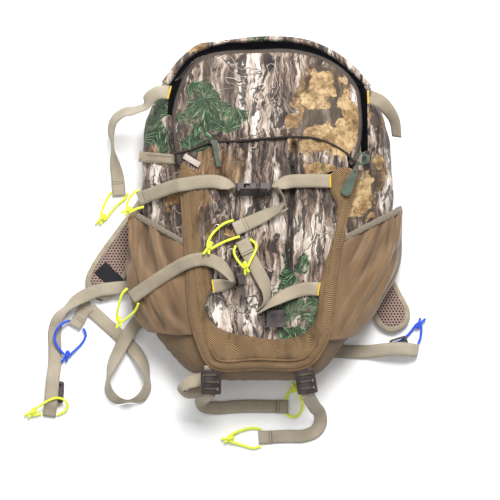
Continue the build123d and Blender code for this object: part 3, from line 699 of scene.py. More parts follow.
def tube_piece(name, path, radius, material, body, closed=False, **more):
    """A round tube along millimetre points; radius may be one number or one for each point."""
    path = np.asarray(path, float)
    count = len(path)
    along = unit(np.roll(path, -1, 0) - np.roll(path, 1, 0) if closed else np.gradient(path, axis=0))
    up = np.array([0.0, 0.0, 1.0]) if abs(along[0, 2]) < 0.9 else np.array([1.0, 0.0, 0.0])
    sideways = []
    last = np.cross(up, along[0])
    for direction in along:
        last = unit(last - direction * np.dot(last, direction))
        sideways.append(last)
    sideways = np.array(sideways)
    normals = np.cross(along, sideways)
    turns = np.linspace(0, 2 * math.pi, TUBE_SIDES, endpoint=False)
    sizes = np.broadcast_to(radius, count).reshape(-1, 1, 1)
    rings = (
        path[:, None] + sizes * (np.cos(turns)[None, :, None] * sideways[:, None]
                                 + np.sin(turns)[None, :, None] * normals[:, None])
    )
    faces = grid_faces(count, TUBE_SIDES, wrap_columns=True, wrap_rows=closed)
    if not closed:
        faces += end_faces(count, TUBE_SIDES)
    return face_out(make(name, rings, faces, material, body, **more))


def strip_frames(route, count):
    """Points, across and normal vectors and lengths gone along a route of (x, y, z, lean) stations."""
    path = smooth(route, count)
    centre, lean = path[:, :3], np.radians(path[:, 3])[:, None]
    along = unit(np.gradient(centre, axis=0))
    level = unit(np.cross([0, 0, 1], along))
    across = level * np.cos(lean) + np.cross(along, level) * np.sin(lean)
    normal = np.cross(along, across)
    return centre, across, normal, gone_along(centre)


SECTION = [
    (-1, 0), (-0.97, 0.8), (-0.5, 1), (0, 1), (0.5, 1), (0.97, 0.8), (1, 0), (0.97, -0.8), (0.5, -1),
    (0, -1), (-0.5, -1), (-0.97, -0.8),
]


def strip(name, route, material, body, width=WEBBING_WIDTH, thickness=WEBBING_THICKNESS, raised=0.0,
          part=(0, 1), step=3.0, **more):
    """A flat woven strip; raised moves it off its route, and part is the stretch kept, as length shares."""
    length = gone_along(np.array(route, float)[:, :3])[-1]
    centre, across, normal, gone = strip_frames(route, max(int(length / step), 8))
    keep = (gone >= part[0] * gone[-1] - 1e-6) & (gone <= part[1] * gone[-1] + 1e-6)
    centre, across, normal, gone = centre[keep], across[keep], normal[keep], gone[keep]
    section = np.array(SECTION)
    drift = np.sin(gone / 17.0) * 0.15
    rings = (
        centre[:, None] + across[:, None] * (section[:, 0] * width / 2)[None, :, None]
        + normal[:, None] * ((section[:, 1] * thickness / 2)[None, :] + raised + drift[:, None])[..., None]
    )
    sides = len(section)
    lay = np.zeros(rings.shape)
    lay[..., 0] = section[:, 0] * width / 2
    lay[..., 1] = gone[:, None]
    faces = grid_faces(len(centre), sides, wrap_columns=True) + end_faces(len(centre), sides)
    return face_out(make(name, rings, faces, material, body, lay=lay, **more))


SWELL_FRAMES = 20


def swell(piece, cap, low, high, voxel=5.0):
    """Blows a pad up as cloth: no point moves more than the cap or goes beyond the low and high levels."""
    voxels = piece.modifiers.new("voxels", "REMESH")
    voxels.mode = "VOXEL"
    voxels.voxel_size = voxel * MM
    apply_modifiers(piece)
    start = np.empty(len(piece.data.vertices) * 3)
    piece.data.vertices.foreach_get("co", start)
    blown = piece.modifiers.new("blown", "CLOTH")
    blown.settings.quality = 5
    blown.settings.mass = 0.2
    blown.settings.tension_stiffness = 12
    blown.settings.use_pressure = True
    blown.settings.uniform_pressure_force = 4
    blown.settings.effector_weights.gravity = 0
    for k in range(SWELL_FRAMES):
        bpy.context.scene.frame_set(k + 1)
    apply_modifiers(piece)
    bpy.context.scene.frame_set(1)
    end = np.empty_like(start)
    piece.data.vertices.foreach_get("co", end)
    start, move = start.reshape(-1, 3), (end - start).reshape(-1, 3)
    size = np.linalg.norm(move, axis=1)[:, None]
    points = start + move * np.minimum(1, cap * MM / np.maximum(size, 1e-9))
    points[:, 2] = np.clip(points[:, 2], low * MM, high * MM)
    piece.data.vertices.foreach_set("co", points.ravel())
    piece.modifiers.new("fine", "SUBSURF").levels = 1
    apply_modifiers(piece)
    piece.data.polygons.foreach_set("use_smooth", [True] * len(piece.data.polygons))
    return piece


def stitch_rings(places, directions, normals, length, radius):
    """Vertices and faces of short threads, one at each place."""
    sides, profile = 6, ((-0.5, 0.25), (-0.3, 1.0), (0.3, 1.0), (0.5, 0.25))
    verts, faces = [], []
    for place, direction, normal in zip(places, directions, normals):
        sideways = np.cross(direction, normal)
        start = len(verts)
        for shift, size in profile:
            for k in range(sides):
                turn = 2 * math.pi * k / sides
                verts.append(place + direction * shift * length
                             + radius * size * (math.cos(turn) * sideways + math.sin(turn) * normal))
        faces += grid_faces(len(profile), sides, wrap_columns=True, start=start)
        faces += end_faces(len(profile), sides, start)
    return verts, faces


def stitching(name, lines, material, body, pitch, length, radius):
    """Rows of stitches along millimetre lines that lie on the fabric."""
    verts, faces = [], []
    for line in lines:
        line = np.asarray(line, float)
        gone = gone_along(line)
        at = np.arange(pitch / 2, gone[-1], pitch)
        behind, places, ahead = (
            np.stack([np.interp(at + shift, gone, line[:, k]) for k in range(3)], 1)
            for shift in (-0.5, 0, 0.5)
        )
        directions = unit(ahead - behind)
        normals = np.cross(unit(np.cross(directions, [0, 0, 1])), directions)
        more_verts, more_faces = stitch_rings(places, directions, normals, length, radius)
        faces += [tuple(v + len(verts) for v in face) for face in more_faces]
        verts += more_verts
    return make(name, verts, faces, material, body)


def bar_tack(name, centre, turn, body):
    """A dense zigzag of thread, its long side turned from the X axis by turn degrees."""
    turn = math.radians(turn)
    along = np.array([math.cos(turn), math.sin(turn), 0])
    sideways = np.array([-math.sin(turn), math.cos(turn), 0])
    count = int(TACK_LENGTH / TACK_PITCH)
    places, directions = [], []
    for k in range(count):
        slant = 0.25 if k % 2 else -0.25
        places.append(np.array(centre) + along * (k - count / 2 + 0.5) * TACK_LENGTH / count)
        directions.append(unit(sideways + along * slant))
    verts, faces = stitch_rings(places, directions, [np.array([0, 0, 1.0])] * count, TACK_WIDTH, 0.48)
    return make(name, verts, faces, YELLOW_THREAD, body)


# Cords --------------------------------------------------------------------------------------------

CORDS = {
    "a": [
        (-0.2295, 0.0355, 0.003), (-0.2345, 0.028, 0.0026), (-0.239, 0.018, 0.0026),
        (-0.2435, 0.007, 0.004), (-0.245, -0.0015, 0.006), (-0.2425, -0.006, 0.006),
        (-0.238, -0.0065, 0.006), (-0.2325, 0.001, 0.0044), (-0.225, 0.011, 0.0026),
        (-0.216, 0.0195, 0.0024), (-0.2075, 0.0255, 0.0024), (-0.204, 0.034, 0.003),
    ],
    "b": [
        (-0.184, 0.0375, 0.07), (-0.1915, 0.034, 0.07), (-0.198, 0.0265, 0.0705), (-0.202, 0.017, 0.071),
        (-0.2028, 0.0096, 0.072), (-0.201, 0.0049, 0.072), (-0.1963, 0.0042, 0.072),
        (-0.1905, 0.0075, 0.0715), (-0.184, 0.0105, 0.071), (-0.177, 0.012, 0.0705),
    ],
    "c": [
        (-0.0422, -0.0088, 0.1248), (-0.0525, -0.011, 0.1256), (-0.0635, -0.0185, 0.1274),
        (-0.073, -0.028, 0.1284), (-0.0785, -0.037, 0.129), (-0.0807, -0.0445, 0.1305),
        (-0.08, -0.0495, 0.1305), (-0.0755, -0.0513, 0.1305), (-0.069, -0.047, 0.129),
        (-0.0595, -0.042, 0.1265), (-0.0465, -0.0365, 0.1248), (-0.033, -0.0326, 0.1248),
    ],
    "d": [
        (-0.0387, -0.046, 0.1246), (-0.0425, -0.053, 0.1246), (-0.04, -0.062, 0.1256),
        (-0.0345, -0.07, 0.128), (-0.0293, -0.0765, 0.1295), (-0.0249, -0.079, 0.1295),
        (-0.0207, -0.076, 0.1295), (-0.0175, -0.068, 0.129), (-0.012, -0.0585, 0.1284),
        (-0.008, -0.0485, 0.127), (-0.0107, -0.0405, 0.125), (-0.018, -0.0368, 0.1246),
    ],
    "e": [
        (-0.2008, -0.11, 0.076), (-0.2085, -0.1155, 0.075), (-0.2125, -0.128, 0.07),
        (-0.216, -0.14, 0.063), (-0.2183, -0.1495, 0.057), (-0.2182, -0.157, 0.053),
        (-0.2155, -0.1613, 0.052), (-0.2108, -0.161, 0.053), (-0.204, -0.1555, 0.057),
        (-0.195, -0.149, 0.0625), (-0.1875, -0.141, 0.069), (-0.185, -0.1323, 0.075),
    ],
    "f": [
        (-0.3354, -0.3015, 0.0032), (-0.34, -0.3026, 0.0036), (-0.3445, -0.3034, 0.0048),
        (-0.349, -0.303, 0.006), (-0.3515, -0.299, 0.0062), (-0.349, -0.2948, 0.0065),
        (-0.343, -0.2933, 0.0096), (-0.3345, -0.2875, 0.014), (-0.323, -0.28, 0.0156),
        (-0.3105, -0.276, 0.0156), (-0.2995, -0.2795, 0.013), (-0.2935, -0.289, 0.007),
        (-0.2995, -0.299, 0.0036), (-0.311, -0.3035, 0.003),
    ],
    "g": [
        (0.036, -0.2802, 0.0024), (0.038, -0.275, 0.0024), (0.0415, -0.2685, 0.004),
        (0.0459, -0.263, 0.006), (0.0505, -0.261, 0.0063), (0.054, -0.2645, 0.006),
        (0.0575, -0.2715, 0.0046), (0.061, -0.281, 0.0026), (0.0618, -0.2925, 0.0023),
        (0.057, -0.3035, 0.0023), (0.0475, -0.308, 0.0023), (0.036, -0.302, 0.0023),
    ],
    "h": [
        (-0.001, -0.3254, 0.0024), (-0.009, -0.3235, 0.0023), (-0.02, -0.3242, 0.0023),
        (-0.032, -0.3272, 0.003), (-0.0415, -0.3308, 0.005), (-0.049, -0.3346, 0.0062),
        (-0.0515, -0.339, 0.0062), (-0.049, -0.3434, 0.0062), (-0.0405, -0.346, 0.004),
        (-0.0305, -0.3493, 0.0024), (-0.02, -0.353, 0.0023), (-0.009, -0.3546, 0.0023),
        (-0.001, -0.3508, 0.0024),
    ],
    "i": [
        (-0.2926, -0.1598, 0.006), (-0.2985, -0.1618, 0.0128), (-0.306, -0.1665, 0.0154),
        (-0.313, -0.175, 0.012), (-0.3155, -0.1865, 0.0084), (-0.312, -0.1975, 0.007),
        (-0.3055, -0.2055, 0.007), (-0.3005, -0.2115, 0.0066), (-0.2962, -0.215, 0.0064),
        (-0.2918, -0.2124, 0.0064), (-0.285, -0.2055, 0.005), (-0.2765, -0.198, 0.003),
        (-0.2695, -0.1885, 0.0026), (-0.267, -0.179, 0.004), (-0.2718, -0.1718, 0.005),
    ],
    "j": [
        (0.2375, -0.1955, 0.0055), (0.241, -0.1885, 0.0046), (0.2423, -0.18, 0.0046),
        (0.2428, -0.172, 0.0056), (0.242, -0.166, 0.0062), (0.2377, -0.1636, 0.0062),
        (0.2338, -0.1665, 0.0062), (0.2295, -0.173, 0.004), (0.223, -0.1815, 0.0022),
        (0.2145, -0.189, 0.002), (0.2055, -0.1945, 0.002), (0.196, -0.198, 0.002),
    ],
}
# The bag carries every cord but these three.
CORD_BODIES = {"f": "waist_buckle", "i": "left_strap", "j": "right_strap"}
# Each knot's middle, the way its two tails point in plan, and its size.
KNOTS = {
    "a": ((-241.6, -3.5, 6.2), 235, 1.0), "b": ((-199, 7.5, 72), 215, 0.95),
    "c": ((-77.7, -46.8, 130.5), 250, 1.1), "d": ((-25, -75.8, 129.5), 285, 1.0),
    "e": ((-214.6, -157.6, 53.4), 270, 0.95), "f": ((-347.6, -299, 6.3), 215, 1.0),
    "g": ((50, -264.6, 6.2), 95, 0.95), "h": ((-47.8, -339, 6.2), 200, 1.0),
    "i": ((-296, -211.6, 6.4), 250, 1.0), "j": ((238, -167, 6.2), 60, 1.05),
}


def cord_curve(name, points, material):
    """A round cord on one smooth curve along its route."""
    data = bpy.data.curves.new(name, "CURVE")
    data.dimensions = "3D"
    data.resolution_u = 8
    data.bevel_depth = CORD_DIAMETER / 2
    data.bevel_resolution = 3
    data.use_fill_caps = True
    spline = data.splines.new("NURBS")
    spline.points.add(len(points) - 1)
    for point, place in zip(spline.points, points):
        point.co = (*place, 1)
    spline.order_u = 3
    spline.use_endpoint_u = True
    piece = bpy.data.objects.new(name, data)
    bpy.context.collection.objects.link(piece)
    data.materials.append(material)
    return piece


def knot_piece(name, centre, tails_to, size, material, body):
    """An overhand knot: a trefoil of cord pulled small, with its two cut tails."""
    size *= 1.2
    radius = 1.75 * size
    t = np.linspace(0, 2 * math.pi, 72, endpoint=False)
    loops = (np.sin(t) + 2 * np.sin(2 * t), np.cos(t) - 2 * np.cos(2 * t), -1.5 * np.sin(3 * t))
    path = np.stack(loops, 1) * 1.22 * size
    lean = math.radians(tails_to)
    turned = np.stack([
        path[:, 0] * math.cos(lean) - path[:, 2] * math.sin(lean) * 0.5,
        path[:, 0] * math.sin(lean) + path[:, 2] * math.cos(lean) * 0.5 + path[:, 1] * 0.5,
        path[:, 1] * 0.8 + path[:, 2] * 0.35,
    ], 1)
    reach = np.abs(turned[:, 2]).max()
    turned[:, 2] *= min(1.0, (6.0 - radius) / reach)
    knot = tube_piece(name, np.array(centre) + turned, radius, material, body, closed=True)
    tails = []
    for k, spread in enumerate((-0.30, 0.26)):
        heading = np.array([math.cos(lean + spread), math.sin(lean + spread), 0])
        length = (9.5, 7.0)[k] * size
        s = np.linspace(0, 1, 7)[:, None]
        line = np.array(centre) + heading * (2.5 + s * length) + np.array([0, 0, -1.0]) * (s**2 * 1.4)
        tails.append(tube_piece(f"{name}_tail_{k}", line, radius * 0.9, material, None))
    for tail in tails:
        tail.parent = knot
    return knot, tails


def make_cords():
    """The pull loops. Cord d leaves its strap at its last point, the others at their first."""
    knot_nodes = {"f": "knot_belt", "i": "knot_left_strap", "j": "knot_right_strap"}
    for letter, points in CORDS.items():
        body = CORD_BODIES.get(letter, "bag")
        material = BLUE if letter in "ij" else NEON
        piece = cord_curve(f"pull_loop_{letter}", points, material)
        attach(piece, body)
        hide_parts(f"pull_cord_{letter}")
        centre, tails_to, size = KNOTS[letter]
        knot, tails = knot_piece(f"knot_{letter}", centre, tails_to, size, material, body)
        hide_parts(knot_nodes.get(letter, "knots_yellow"))


make_camera()
make_cords()


# Bag body -----------------------------------------------------------------------------------------

OUTLINE_COUNT = 400
widest = smooth(WIDEST, OUTLINE_COUNT, closed=True)
front = smooth(FRONT, OUTLINE_COUNT, closed=True)
MOUTH_CENTRE = np.array([8.0, 155.0])


def level(s, back, wide, near):
    """A value that passes through the bag's back, widest and front levels as s runs 0, 1/3, 1."""
    w = 1 / 3
    return (
        back * (s - w) * (s - 1) / w + wide * s * (s - 1) / (w * (w - 1)) + near * s * (s - w) / (1 - w)
    )


def radius_at(outline, angles):
    """How far an outline lies from the mouth's centre, at each angle."""
    away = outline - MOUTH_CENTRE
    turn = np.arctan2(away[:, 1], away[:, 0])
    order = np.argsort(turn)
    return np.interp(angles, turn[order], np.linalg.norm(away, axis=1)[order], period=2 * math.pi)


def bag_grid():
    """Rings of points from the bag's back edge up its sides, over its front edge and in to the mouth."""
    rings = []
    for s in np.linspace(0, 1, 34):
        turned_in = 1.2 + 12 * max(0, s - 0.9)
        rounded = 27.5 * max(0, s - 0.92)
        plan = inward(level(s, widest * BASE_SCALE, widest, front), turned_in)
        rings.append(lift(plan, level(s, BACK_Z, WIDEST_Z, FRONT_Z) - rounded))
    away = front - MOUTH_CENTRE
    angles = np.arctan2(away[:, 1], away[:, 0])
    directions = np.stack([np.cos(angles), np.sin(angles)], 1)
    mouth = MOUTH_CENTRE + directions * radius_at(inward(smooth(LID_CURVE, 300), 12), angles)[:, None]
    start = rings[-1][:, :2]
    for share in (0.06, 0.16, 0.35, 0.6, 0.8, 1.0):
        plan = start * (1 - share) + mouth * share
        rings.append(lift(plan, FRONT_Z - 1.2 + 0.8 * math.sin(math.pi * share)))
    return np.array(rings)


def crease_bag(grid):
    """Soft dents and upright wrinkles on the bag's sides, inward so that what lies on it stays clear."""
    share = np.linspace(0, 1, grid.shape[0])[:, None]
    side = np.clip(np.sin(np.pi * np.clip(share / 0.83, 0, 1)), 0, 1)
    lumps = rough_noise(grid, (34, 60, 40), 3.1)
    fine = rough_noise(grid, (13, 40, 22), 7.7)
    depth = side * (6.0 * (lumps - 0.2) + 3.0 * fine - 1.2)
    outward = grid - grid.mean(axis=1, keepdims=True)
    outward[..., 2] = 0
    outward = unit(outward)
    depth *= 0.25 + 0.75 * np.abs(outward[..., 0]) ** 2
    return grid + outward * np.clip(depth, -5.5, 0.8)[..., None]


bag_rings = crease_bag(bag_grid())


def cut_part(name, grid, keep_top, material, replaces):
    """The bag's skin on one side of the base seam."""
    piece = make(name, grid, grid_faces(*grid.shape[:2], wrap_columns=True), material, None)
    made = bmesh.new()
    made.from_mesh(piece.data)
    bmesh.ops.bisect_plane(
        made, geom=made.verts[:] + made.edges[:] + made.faces[:], plane_co=(0, SEAM_Y * MM, 0),
        plane_no=(0, 1, 0), clear_inner=keep_top, clear_outer=not keep_top,
    )
    bmesh.ops.recalc_face_normals(made, faces=made.faces)
    made.to_mesh(piece.data)
    made.free()
    highest = max(piece.data.polygons, key=lambda face: face.center.z)
    if highest.normal.z < 0:
        piece.data.flip_normals()
    piece.data.polygons.foreach_set("use_smooth", [True] * len(piece.data.polygons))
    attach(piece, "bag")
    thicken(piece, 1.6, LINING)
    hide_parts(*replaces)
    return piece


bag_fabric = cut_part("bag_fabric", bag_rings, True, CAMO, ["bag_shell"])
base_fabric = cut_part("base_fabric", bag_rings, False, BASE_TWILL, ["base_panel"])


def tree_of(*pieces):
    """A search tree over pieces' meshes, in metres."""
    verts, faces = [], []
    for piece in pieces:
        start = len(verts)
        verts += [v.co.copy() for v in piece.data.vertices]
        faces += [[start + v for v in face.vertices] for face in piece.data.polygons]
    return BVHTree.FromPolygons(verts, faces)


def drape(plan, tree, clearance, otherwise):
    """Plan points laid on what is under them, raised by the clearance; off it, at the other height."""
    plan = np.asarray(plan, float)
    heights = []
    for x, y in plan.reshape(-1, plan.shape[-1])[:, :2]:
        hit = tree.ray_cast(Vector((x * MM, y * MM, 0.3)), Vector((0, 0, -1)))[0]
        heights.append(hit.z / MM + clearance if hit else otherwise)
    return lift(plan, np.array(heights).reshape(plan.shape[:-1]))


bag_tree = tree_of(bag_fabric, base_fabric)


# Front: stuff pocket and lid ----------------------------------------------------------------------

CAMO_LEFT = [
    (12, -184.5), (-18, -180), (-46, -175), (-75, -159), (-84, -137), (-79, -118), (-73, -103), (-83, -68),
    (-91, -36), (-96, 4), (-87, 30), (-93, 55), (-105, 68), (-118, 80), (-128, 89),
]
CAMO_RIGHT = [
    (18, -184.5), (41, -183), (62, -175), (77, -159), (82, -139), (84, -118), (88, -89), (94, -70),
    (105, -37), (111, -13), (111, 10), (98, 37), (95, 60), (113, 66), (127, 70),
]
lid_outline = smooth(LID_CURVE, 260)
front_outline = np.vstack([lid_outline, smooth(POCKET_CURVE, 300)])


def depth_inside(points, outline):
    """The distance in plan from each point to an outline's points."""
    flat = points.reshape(-1, points.shape[-1])[:, :2]
    nearest = np.full(len(flat), 1e9)
    for chunk in np.array_split(outline, 8):
        gaps = np.linalg.norm(flat[:, None] - chunk[None], axis=2).min(axis=1)
        nearest = np.minimum(nearest, gaps)
    return nearest.reshape(points.shape[:-1])


def hump(value, centre, width):
    """1 at the centre, falling smoothly to 0 over about twice the width."""
    return np.exp(-(((value - centre) / width) ** 2))


def fade(value, low, high):
    """0 below the low value and 1 above the high one, smoothly between."""
    share = np.clip((value - low) / (high - low), 0, 1)
    return share * share * (3 - 2 * share)


def rounded(depth, width):
    """A quarter circle's rise, from 0 at an edge to 1 at the width inside it."""
    return np.sqrt(1 - (1 - np.clip(depth / width, 0, 1)) ** 2)


zip_line = smooth(ZIP_CURVE, 200)


def above_zip(plan):
    """How far plan points lie above the lid's curved zip."""
    return plan[..., 1] - np.interp(plan[..., 0], zip_line[:, 0], zip_line[:, 1])


# The base pleats of the front border: place along the seam, lean and depth.
BASE_PLEATS = [(-50, 0.35, 3.4), (6, -0.1, 2.6), (46, -0.4, 3.6), (-20, 0.2, 1.6), (76, -0.6, 2.0)]
# Every fold of the front: a point on it, its lean, its depth, its half width, and where along Y it begins
# and ends.
FRONT_FOLDS = [
    (98, 0, -0.10, 3.0, 6, (-60, -20), (70, 100)), (-62, 0, 0.05, 4.0, 6, (30, 60), (92, 106)),
    (4, 0, -0.5, 3.0, 7, (45, 70), (92, 106)), (6, 0, 0.0, 3.2, 9, (-120, -80), (-30, 0)),
] + [(x, SEAM_Y - 6, lean, size, 3.4, (-214, -186), (-182, -166)) for x, lean, size in BASE_PLEATS]


def front_height(plan):
    """The front fabric's height over its plan, folded where the pack is slack, and its depth in the folds."""
    x, y = plan[..., 0], plan[..., 1]
    depth = depth_inside(plan, front_outline)
    top = POCKET_TOP_Z + (LID_TOP_Z - POCKET_TOP_Z) * fade(y, 60, 100)
    full = POCKET_RIM_Z + (top - POCKET_RIM_Z) * rounded(depth, 17)
    height = full.copy()
    still = fade(depth, 2, 16)
    crease_x = 43 + 3 * np.sin(y / 34.0) + 4 * fade(y, 60, 110)
    length_on = fade(y, -98, -60) * (1 - fade(y, 98, 114))
    height -= still * 14.0 * hump(x, crease_x, 3.6) * length_on
    height -= still * 3.5 * hump(x, crease_x + 1, 11) * length_on
    for on_x, on_y, lean, size, width, begins, ends in FRONT_FOLDS:
        here = fade(y, *begins) * (1 - fade(y, *ends))
        height -= still * size * hump(x, on_x + lean * (y - on_y), width) * here
    height -= still * 5.0 * hump(y, -221 + 0.0004 * (x - 5) ** 2, 9)
    shape = np.stack([x, y, np.zeros_like(x)], -1)
    height += still * 5.5 * (rough_noise(shape, (24, 62, 30), 1.7) - 0.3)
    height += still * 1.8 * rough_noise(shape, (9, 24, 30), 5.2)
    height = np.minimum(height, top + 0.4)
    return height, height - full


def camo_centre_grid():
    """The pocket's printed panel, from the base up between its sides and on to just over the lid's zip."""
    left, right = smooth(CAMO_LEFT, 170), smooth(CAMO_RIGHT, 170)
    across = np.linspace(0, 1, 96)[None, :, None]
    grid = left[:, None] * (1 - across) + right[:, None] * across
    top = grid[-1]
    reach = 3 - above_zip(top)
    more = []
    for share in np.linspace(0, 1, 15)[1:]:
        row = top.copy()
        row[:, 1] += reach * share
        more.append(row)
    plan = np.vstack([grid, np.array(more)])
    height, sunk = front_height(plan)
    above = above_zip(plan)
    # The lay's depth also drops near and under the lid's edge, which paints the lid's shadow on the panel
    # there.
    return lift(plan, height - 2.2 * fade(above, -4, 3)), lift(plan, sunk - 3.5 * fade(above, -9, 0))


def border_grid():
    """The brown border, from the printed panel's edge out to the pocket's rim."""
    left, right = smooth(CAMO_LEFT[:-1], 150), smooth(CAMO_RIGHT[:-2], 150)
    inner = smooth(np.vstack([left[::-6], right[3::6]]), 320)
    rim = [(-123, 79), (-122, 72)] + POCKET_CURVE[:-1] + [(141, 52), (140, 63), (128, 69), (112, 69)]
    outer = smooth(rim, 320)
    across = np.linspace(0, 1, 22)[None, :, None]
    plan = inner[:, None] * (1 - across) + outer[:, None] * across
    height, sunk = front_height(plan)
    # Painted shade: the lay's depth drops along the border's inner edge, so it is drawn darker beside the
    # printed panel.
    edge = 2.5 * np.exp(-across[..., 0] * 9) * np.ones(height.shape)
    return lift(plan, height + 0.35), lift(plan, sunk - edge)


camo_centre, camo_lay = camo_centre_grid()
front_camo = cloth(
    "front_camo_panel", camo_centre, CAMO, None, 1.4, lay=camo_lay, replaces=["stuff_pocket"], slot="camo"
)
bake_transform(front_camo)
border, border_lay = border_grid()
front_border = cloth("front_twill_border", border, TWILL, None, 1.4, lay=border_lay, slot="base_twill")
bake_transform(front_border)


def lid_top_grid():
    """The lid's plan above its zip, from the zip line up to its curved edge."""
    edge = inward(smooth(LID_CURVE, 500), 3.0)
    edge = edge[above_zip(edge) > 1]
    x = np.linspace(edge[0, 0], edge[-1, 0], len(edge))
    low = np.stack([x, np.interp(x, zip_line[:, 0], zip_line[:, 1])], 1)
    up = np.linspace(0, 1, 64)[:, None, None]
    return low[None] * (1 - up) + edge[None] * up


def lid_height(plan):
    """The lid's height over its plan: domed, rounded down at its edge and a little creased."""
    x, y = plan[..., 0], plan[..., 1]
    depth = depth_inside(plan, lid_outline)
    above = above_zip(plan)
    height = 111.5 + 9.2 * rounded(depth, 15) - 1.2 * (1 - fade(above, 0, 5))
    shape = np.stack([x, y, np.zeros_like(x)], -1)
    still = fade(depth, 3, 22) * fade(above, 0, 15)
    height += still * 4.0 * (rough_noise(shape, (46, 60, 30), 2.3) - 0.1)
    height += still * 1.0 * rough_noise(shape, (15, 22, 30), 9.1)
    return height


lid_plan = lid_top_grid()
lid_fabric = cloth(
    "lid_fabric", lift(lid_plan, lid_height(lid_plan)), CAMO, "lid", 1.6, inner=LINING,
    replaces=["lid_panel"], slot="camo",
)


def rolled_edge(name, plan, z, width, height, material, body, **more):
    """A bound edge: a flattened roll of tape along a plan line."""
    route = np.concatenate([lift(plan, z), np.zeros((len(plan), 1))], axis=1)
    return strip(name, route, material, body, width=width, thickness=height, step=2.5, **more)


lid_edge = smooth(LID_CURVE, 120)
rolled_edge("lid_edge_binding", inward(lid_edge, 3.4), 115.2, 7.6, 5.0, LID_BINDING, "lid",
            replaces=["lid_binding"], slot="zip_tape")
tube_piece("lid_edge_cord", lift(inward(lid_edge, 7.6), 117.6), 0.9, DARK_TAPE, "lid")
# A thin dark tube just outside the lid's binding.
tube_piece("lid_outer_dark_line", lift(inward(lid_edge, -0.6), 112.4), 1.3, DARK_TAPE, "lid")
zip_plan = smooth(ZIP_CURVE, 150)
# The lid's zip, a dark tube along the lid's lower edge; its dark also paints the shadow under that edge.
tube_piece("lid_zip_line", lift(zip_plan, 119.2), 1.5, DARK_TAPE, "lid", replaces=["lid_zip"])

# Piping round the stuff pocket.
pocket_rim = smooth(POCKET_CURVE, 220)
tube_piece("pocket_piping", lift(inward(pocket_rim, 0.2), 109.5), 3.0, PIPING, "bag")
inner_line = drape(inward(pocket_rim, 14.0)[4:-4], tree_of(front_border), 0.2, 112)
tube_piece("pocket_inner_piping", inner_line, 1.7, PIPING, "bag")

# Hood and the dark mouth below it -----------------------------------------------------------------

HOOD_RINGS, MOUTH_COLUMNS = 160, 120
HOOD_OUTER = [
    (-150, 197), (-118, 236), (-101, 249), (-58, 258), (0, 265), (28, 265), (67, 260), (100, 247),
    (129, 228), (163, 192),
]
HOOD_INNER = [
    (-138, 192), (-107, 232), (-81, 247), (-18, 255), (28, 256), (75, 248), (123, 218), (152, 191),
]


def hood_grid():
    """The roll of fabric round the top, bunched near its left shoulder."""
    outer, inner = smooth(HOOD_OUTER, HOOD_RINGS), smooth(HOOD_INNER, HOOD_RINGS)
    centre = (outer + inner) / 2
    half = np.maximum(np.linalg.norm(outer - inner, axis=1) / 2, 3.5)
    side = unit(outer - inner)
    bunch = hump(np.arange(HOOD_RINGS), 38, 7)
    turns = np.linspace(0, 2 * math.pi, 22, endpoint=False)
    rings = []
    for k in range(HOOD_RINGS):
        grow = 1 + 0.35 * bunch[k]
        wave = 0.5 * math.sin(k * 1.1) * bunch[k]
        plan = centre[k] + side[k] * (half[k] * grow) * np.cos(turns)[:, None]
        rings.append(lift(plan, 100 + (9 + 2 * bunch[k] + wave) * np.sin(turns)))
    grid = np.array(rings)
    wrinkle = rough_noise(grid, (9, 9, 14), 4.4)
    grid[..., 2] += wrinkle * 0.9
    return grid


def closed_roll(name, grid, material, body, **more):
    """A closed piece from rings of points, with both ends filled."""
    rows, columns = grid.shape[:2]
    faces = grid_faces(rows, columns, wrap_columns=True) + end_faces(rows, columns)
    return face_out(make(name, grid, faces, material, body, **more))


closed_roll("hood_roll", hood_grid(), CAMO, "bag", replaces=["hood"], slot="camo")


MOUTH_INNER = [
    (-124, 205), (-98, 232), (-60, 241), (-18, 243), (40, 243), (92, 232), (128, 208), (146, 188),
]


def mouth_grid():
    """The black lining between the lid and the hood, dipping in the middle; its near-black colour also paints
    the shade down in this gap.
    """
    inner, outer = smooth(MOUTH_INNER, MOUTH_COLUMNS), smooth(HOOD_INNER, MOUTH_COLUMNS)
    rows = []
    for share in np.linspace(0, 1, 9):
        plan = inner * (1 - share) + outer * share
        dip = math.sin(math.pi * share)
        ripple = 0.8 * np.sin(np.arange(MOUTH_COLUMNS) * 0.35 + 3 * share) * dip
        rows.append(lift(plan, 108.5 - 4.5 * share - 1.5 * dip + ripple))
    return np.array(rows)


cloth("mouth_lining", mouth_grid(), LINING, "bag", 1.0, slot="lining")


def four_cornered(corners, rows, columns):
    """A plan grid between four corners, listed round the piece."""
    a, b, c, d = (np.array(corner, float) for corner in corners)
    u = np.linspace(0, 1, columns)[None, :, None]
    v = np.linspace(0, 1, rows)[:, None, None]
    return (a * (1 - u) + b * u) * (1 - v) + (d * (1 - u) + c * u) * v


def patch(name, corners, material, clearance, **more):
    """A four-cornered piece of fabric laid on the bag."""
    plan = four_cornered(corners, 14, 8)
    return cloth(name, drape(plan, bag_tree, clearance, 100), material, "bag", 1.0, **more)


# Black lining in the gaps beside the lid's corners; its near-black colour also paints the shade in them.
patch("left_corner_lining", [(-119, 203), (-137, 197), (-141, 150), (-131, 146)], LINING, 1.6,
      replaces=["corner_lining"], slot="lining")
patch("right_corner_lining", [(141, 197), (156, 186), (157, 96), (147, 92)], LINING, 1.6, slot="lining")

patch("side_hem_left", [(-181, 95), (-131, 89), (-129, 75), (-183, 79)], BINDING, 1.7, slot="camo")
hem_lines = [drape(smooth([(-181, y), (-131, y - 6)], 30), bag_tree, 3.0, 100) for y in (91.5, 82.5)]
stitching("side_hem_left_stitches", hem_lines, HEM_THREAD, "bag", pitch=3.4, length=2.4, radius=0.35)

# Side pockets -------------------------------------------------------------------------------------

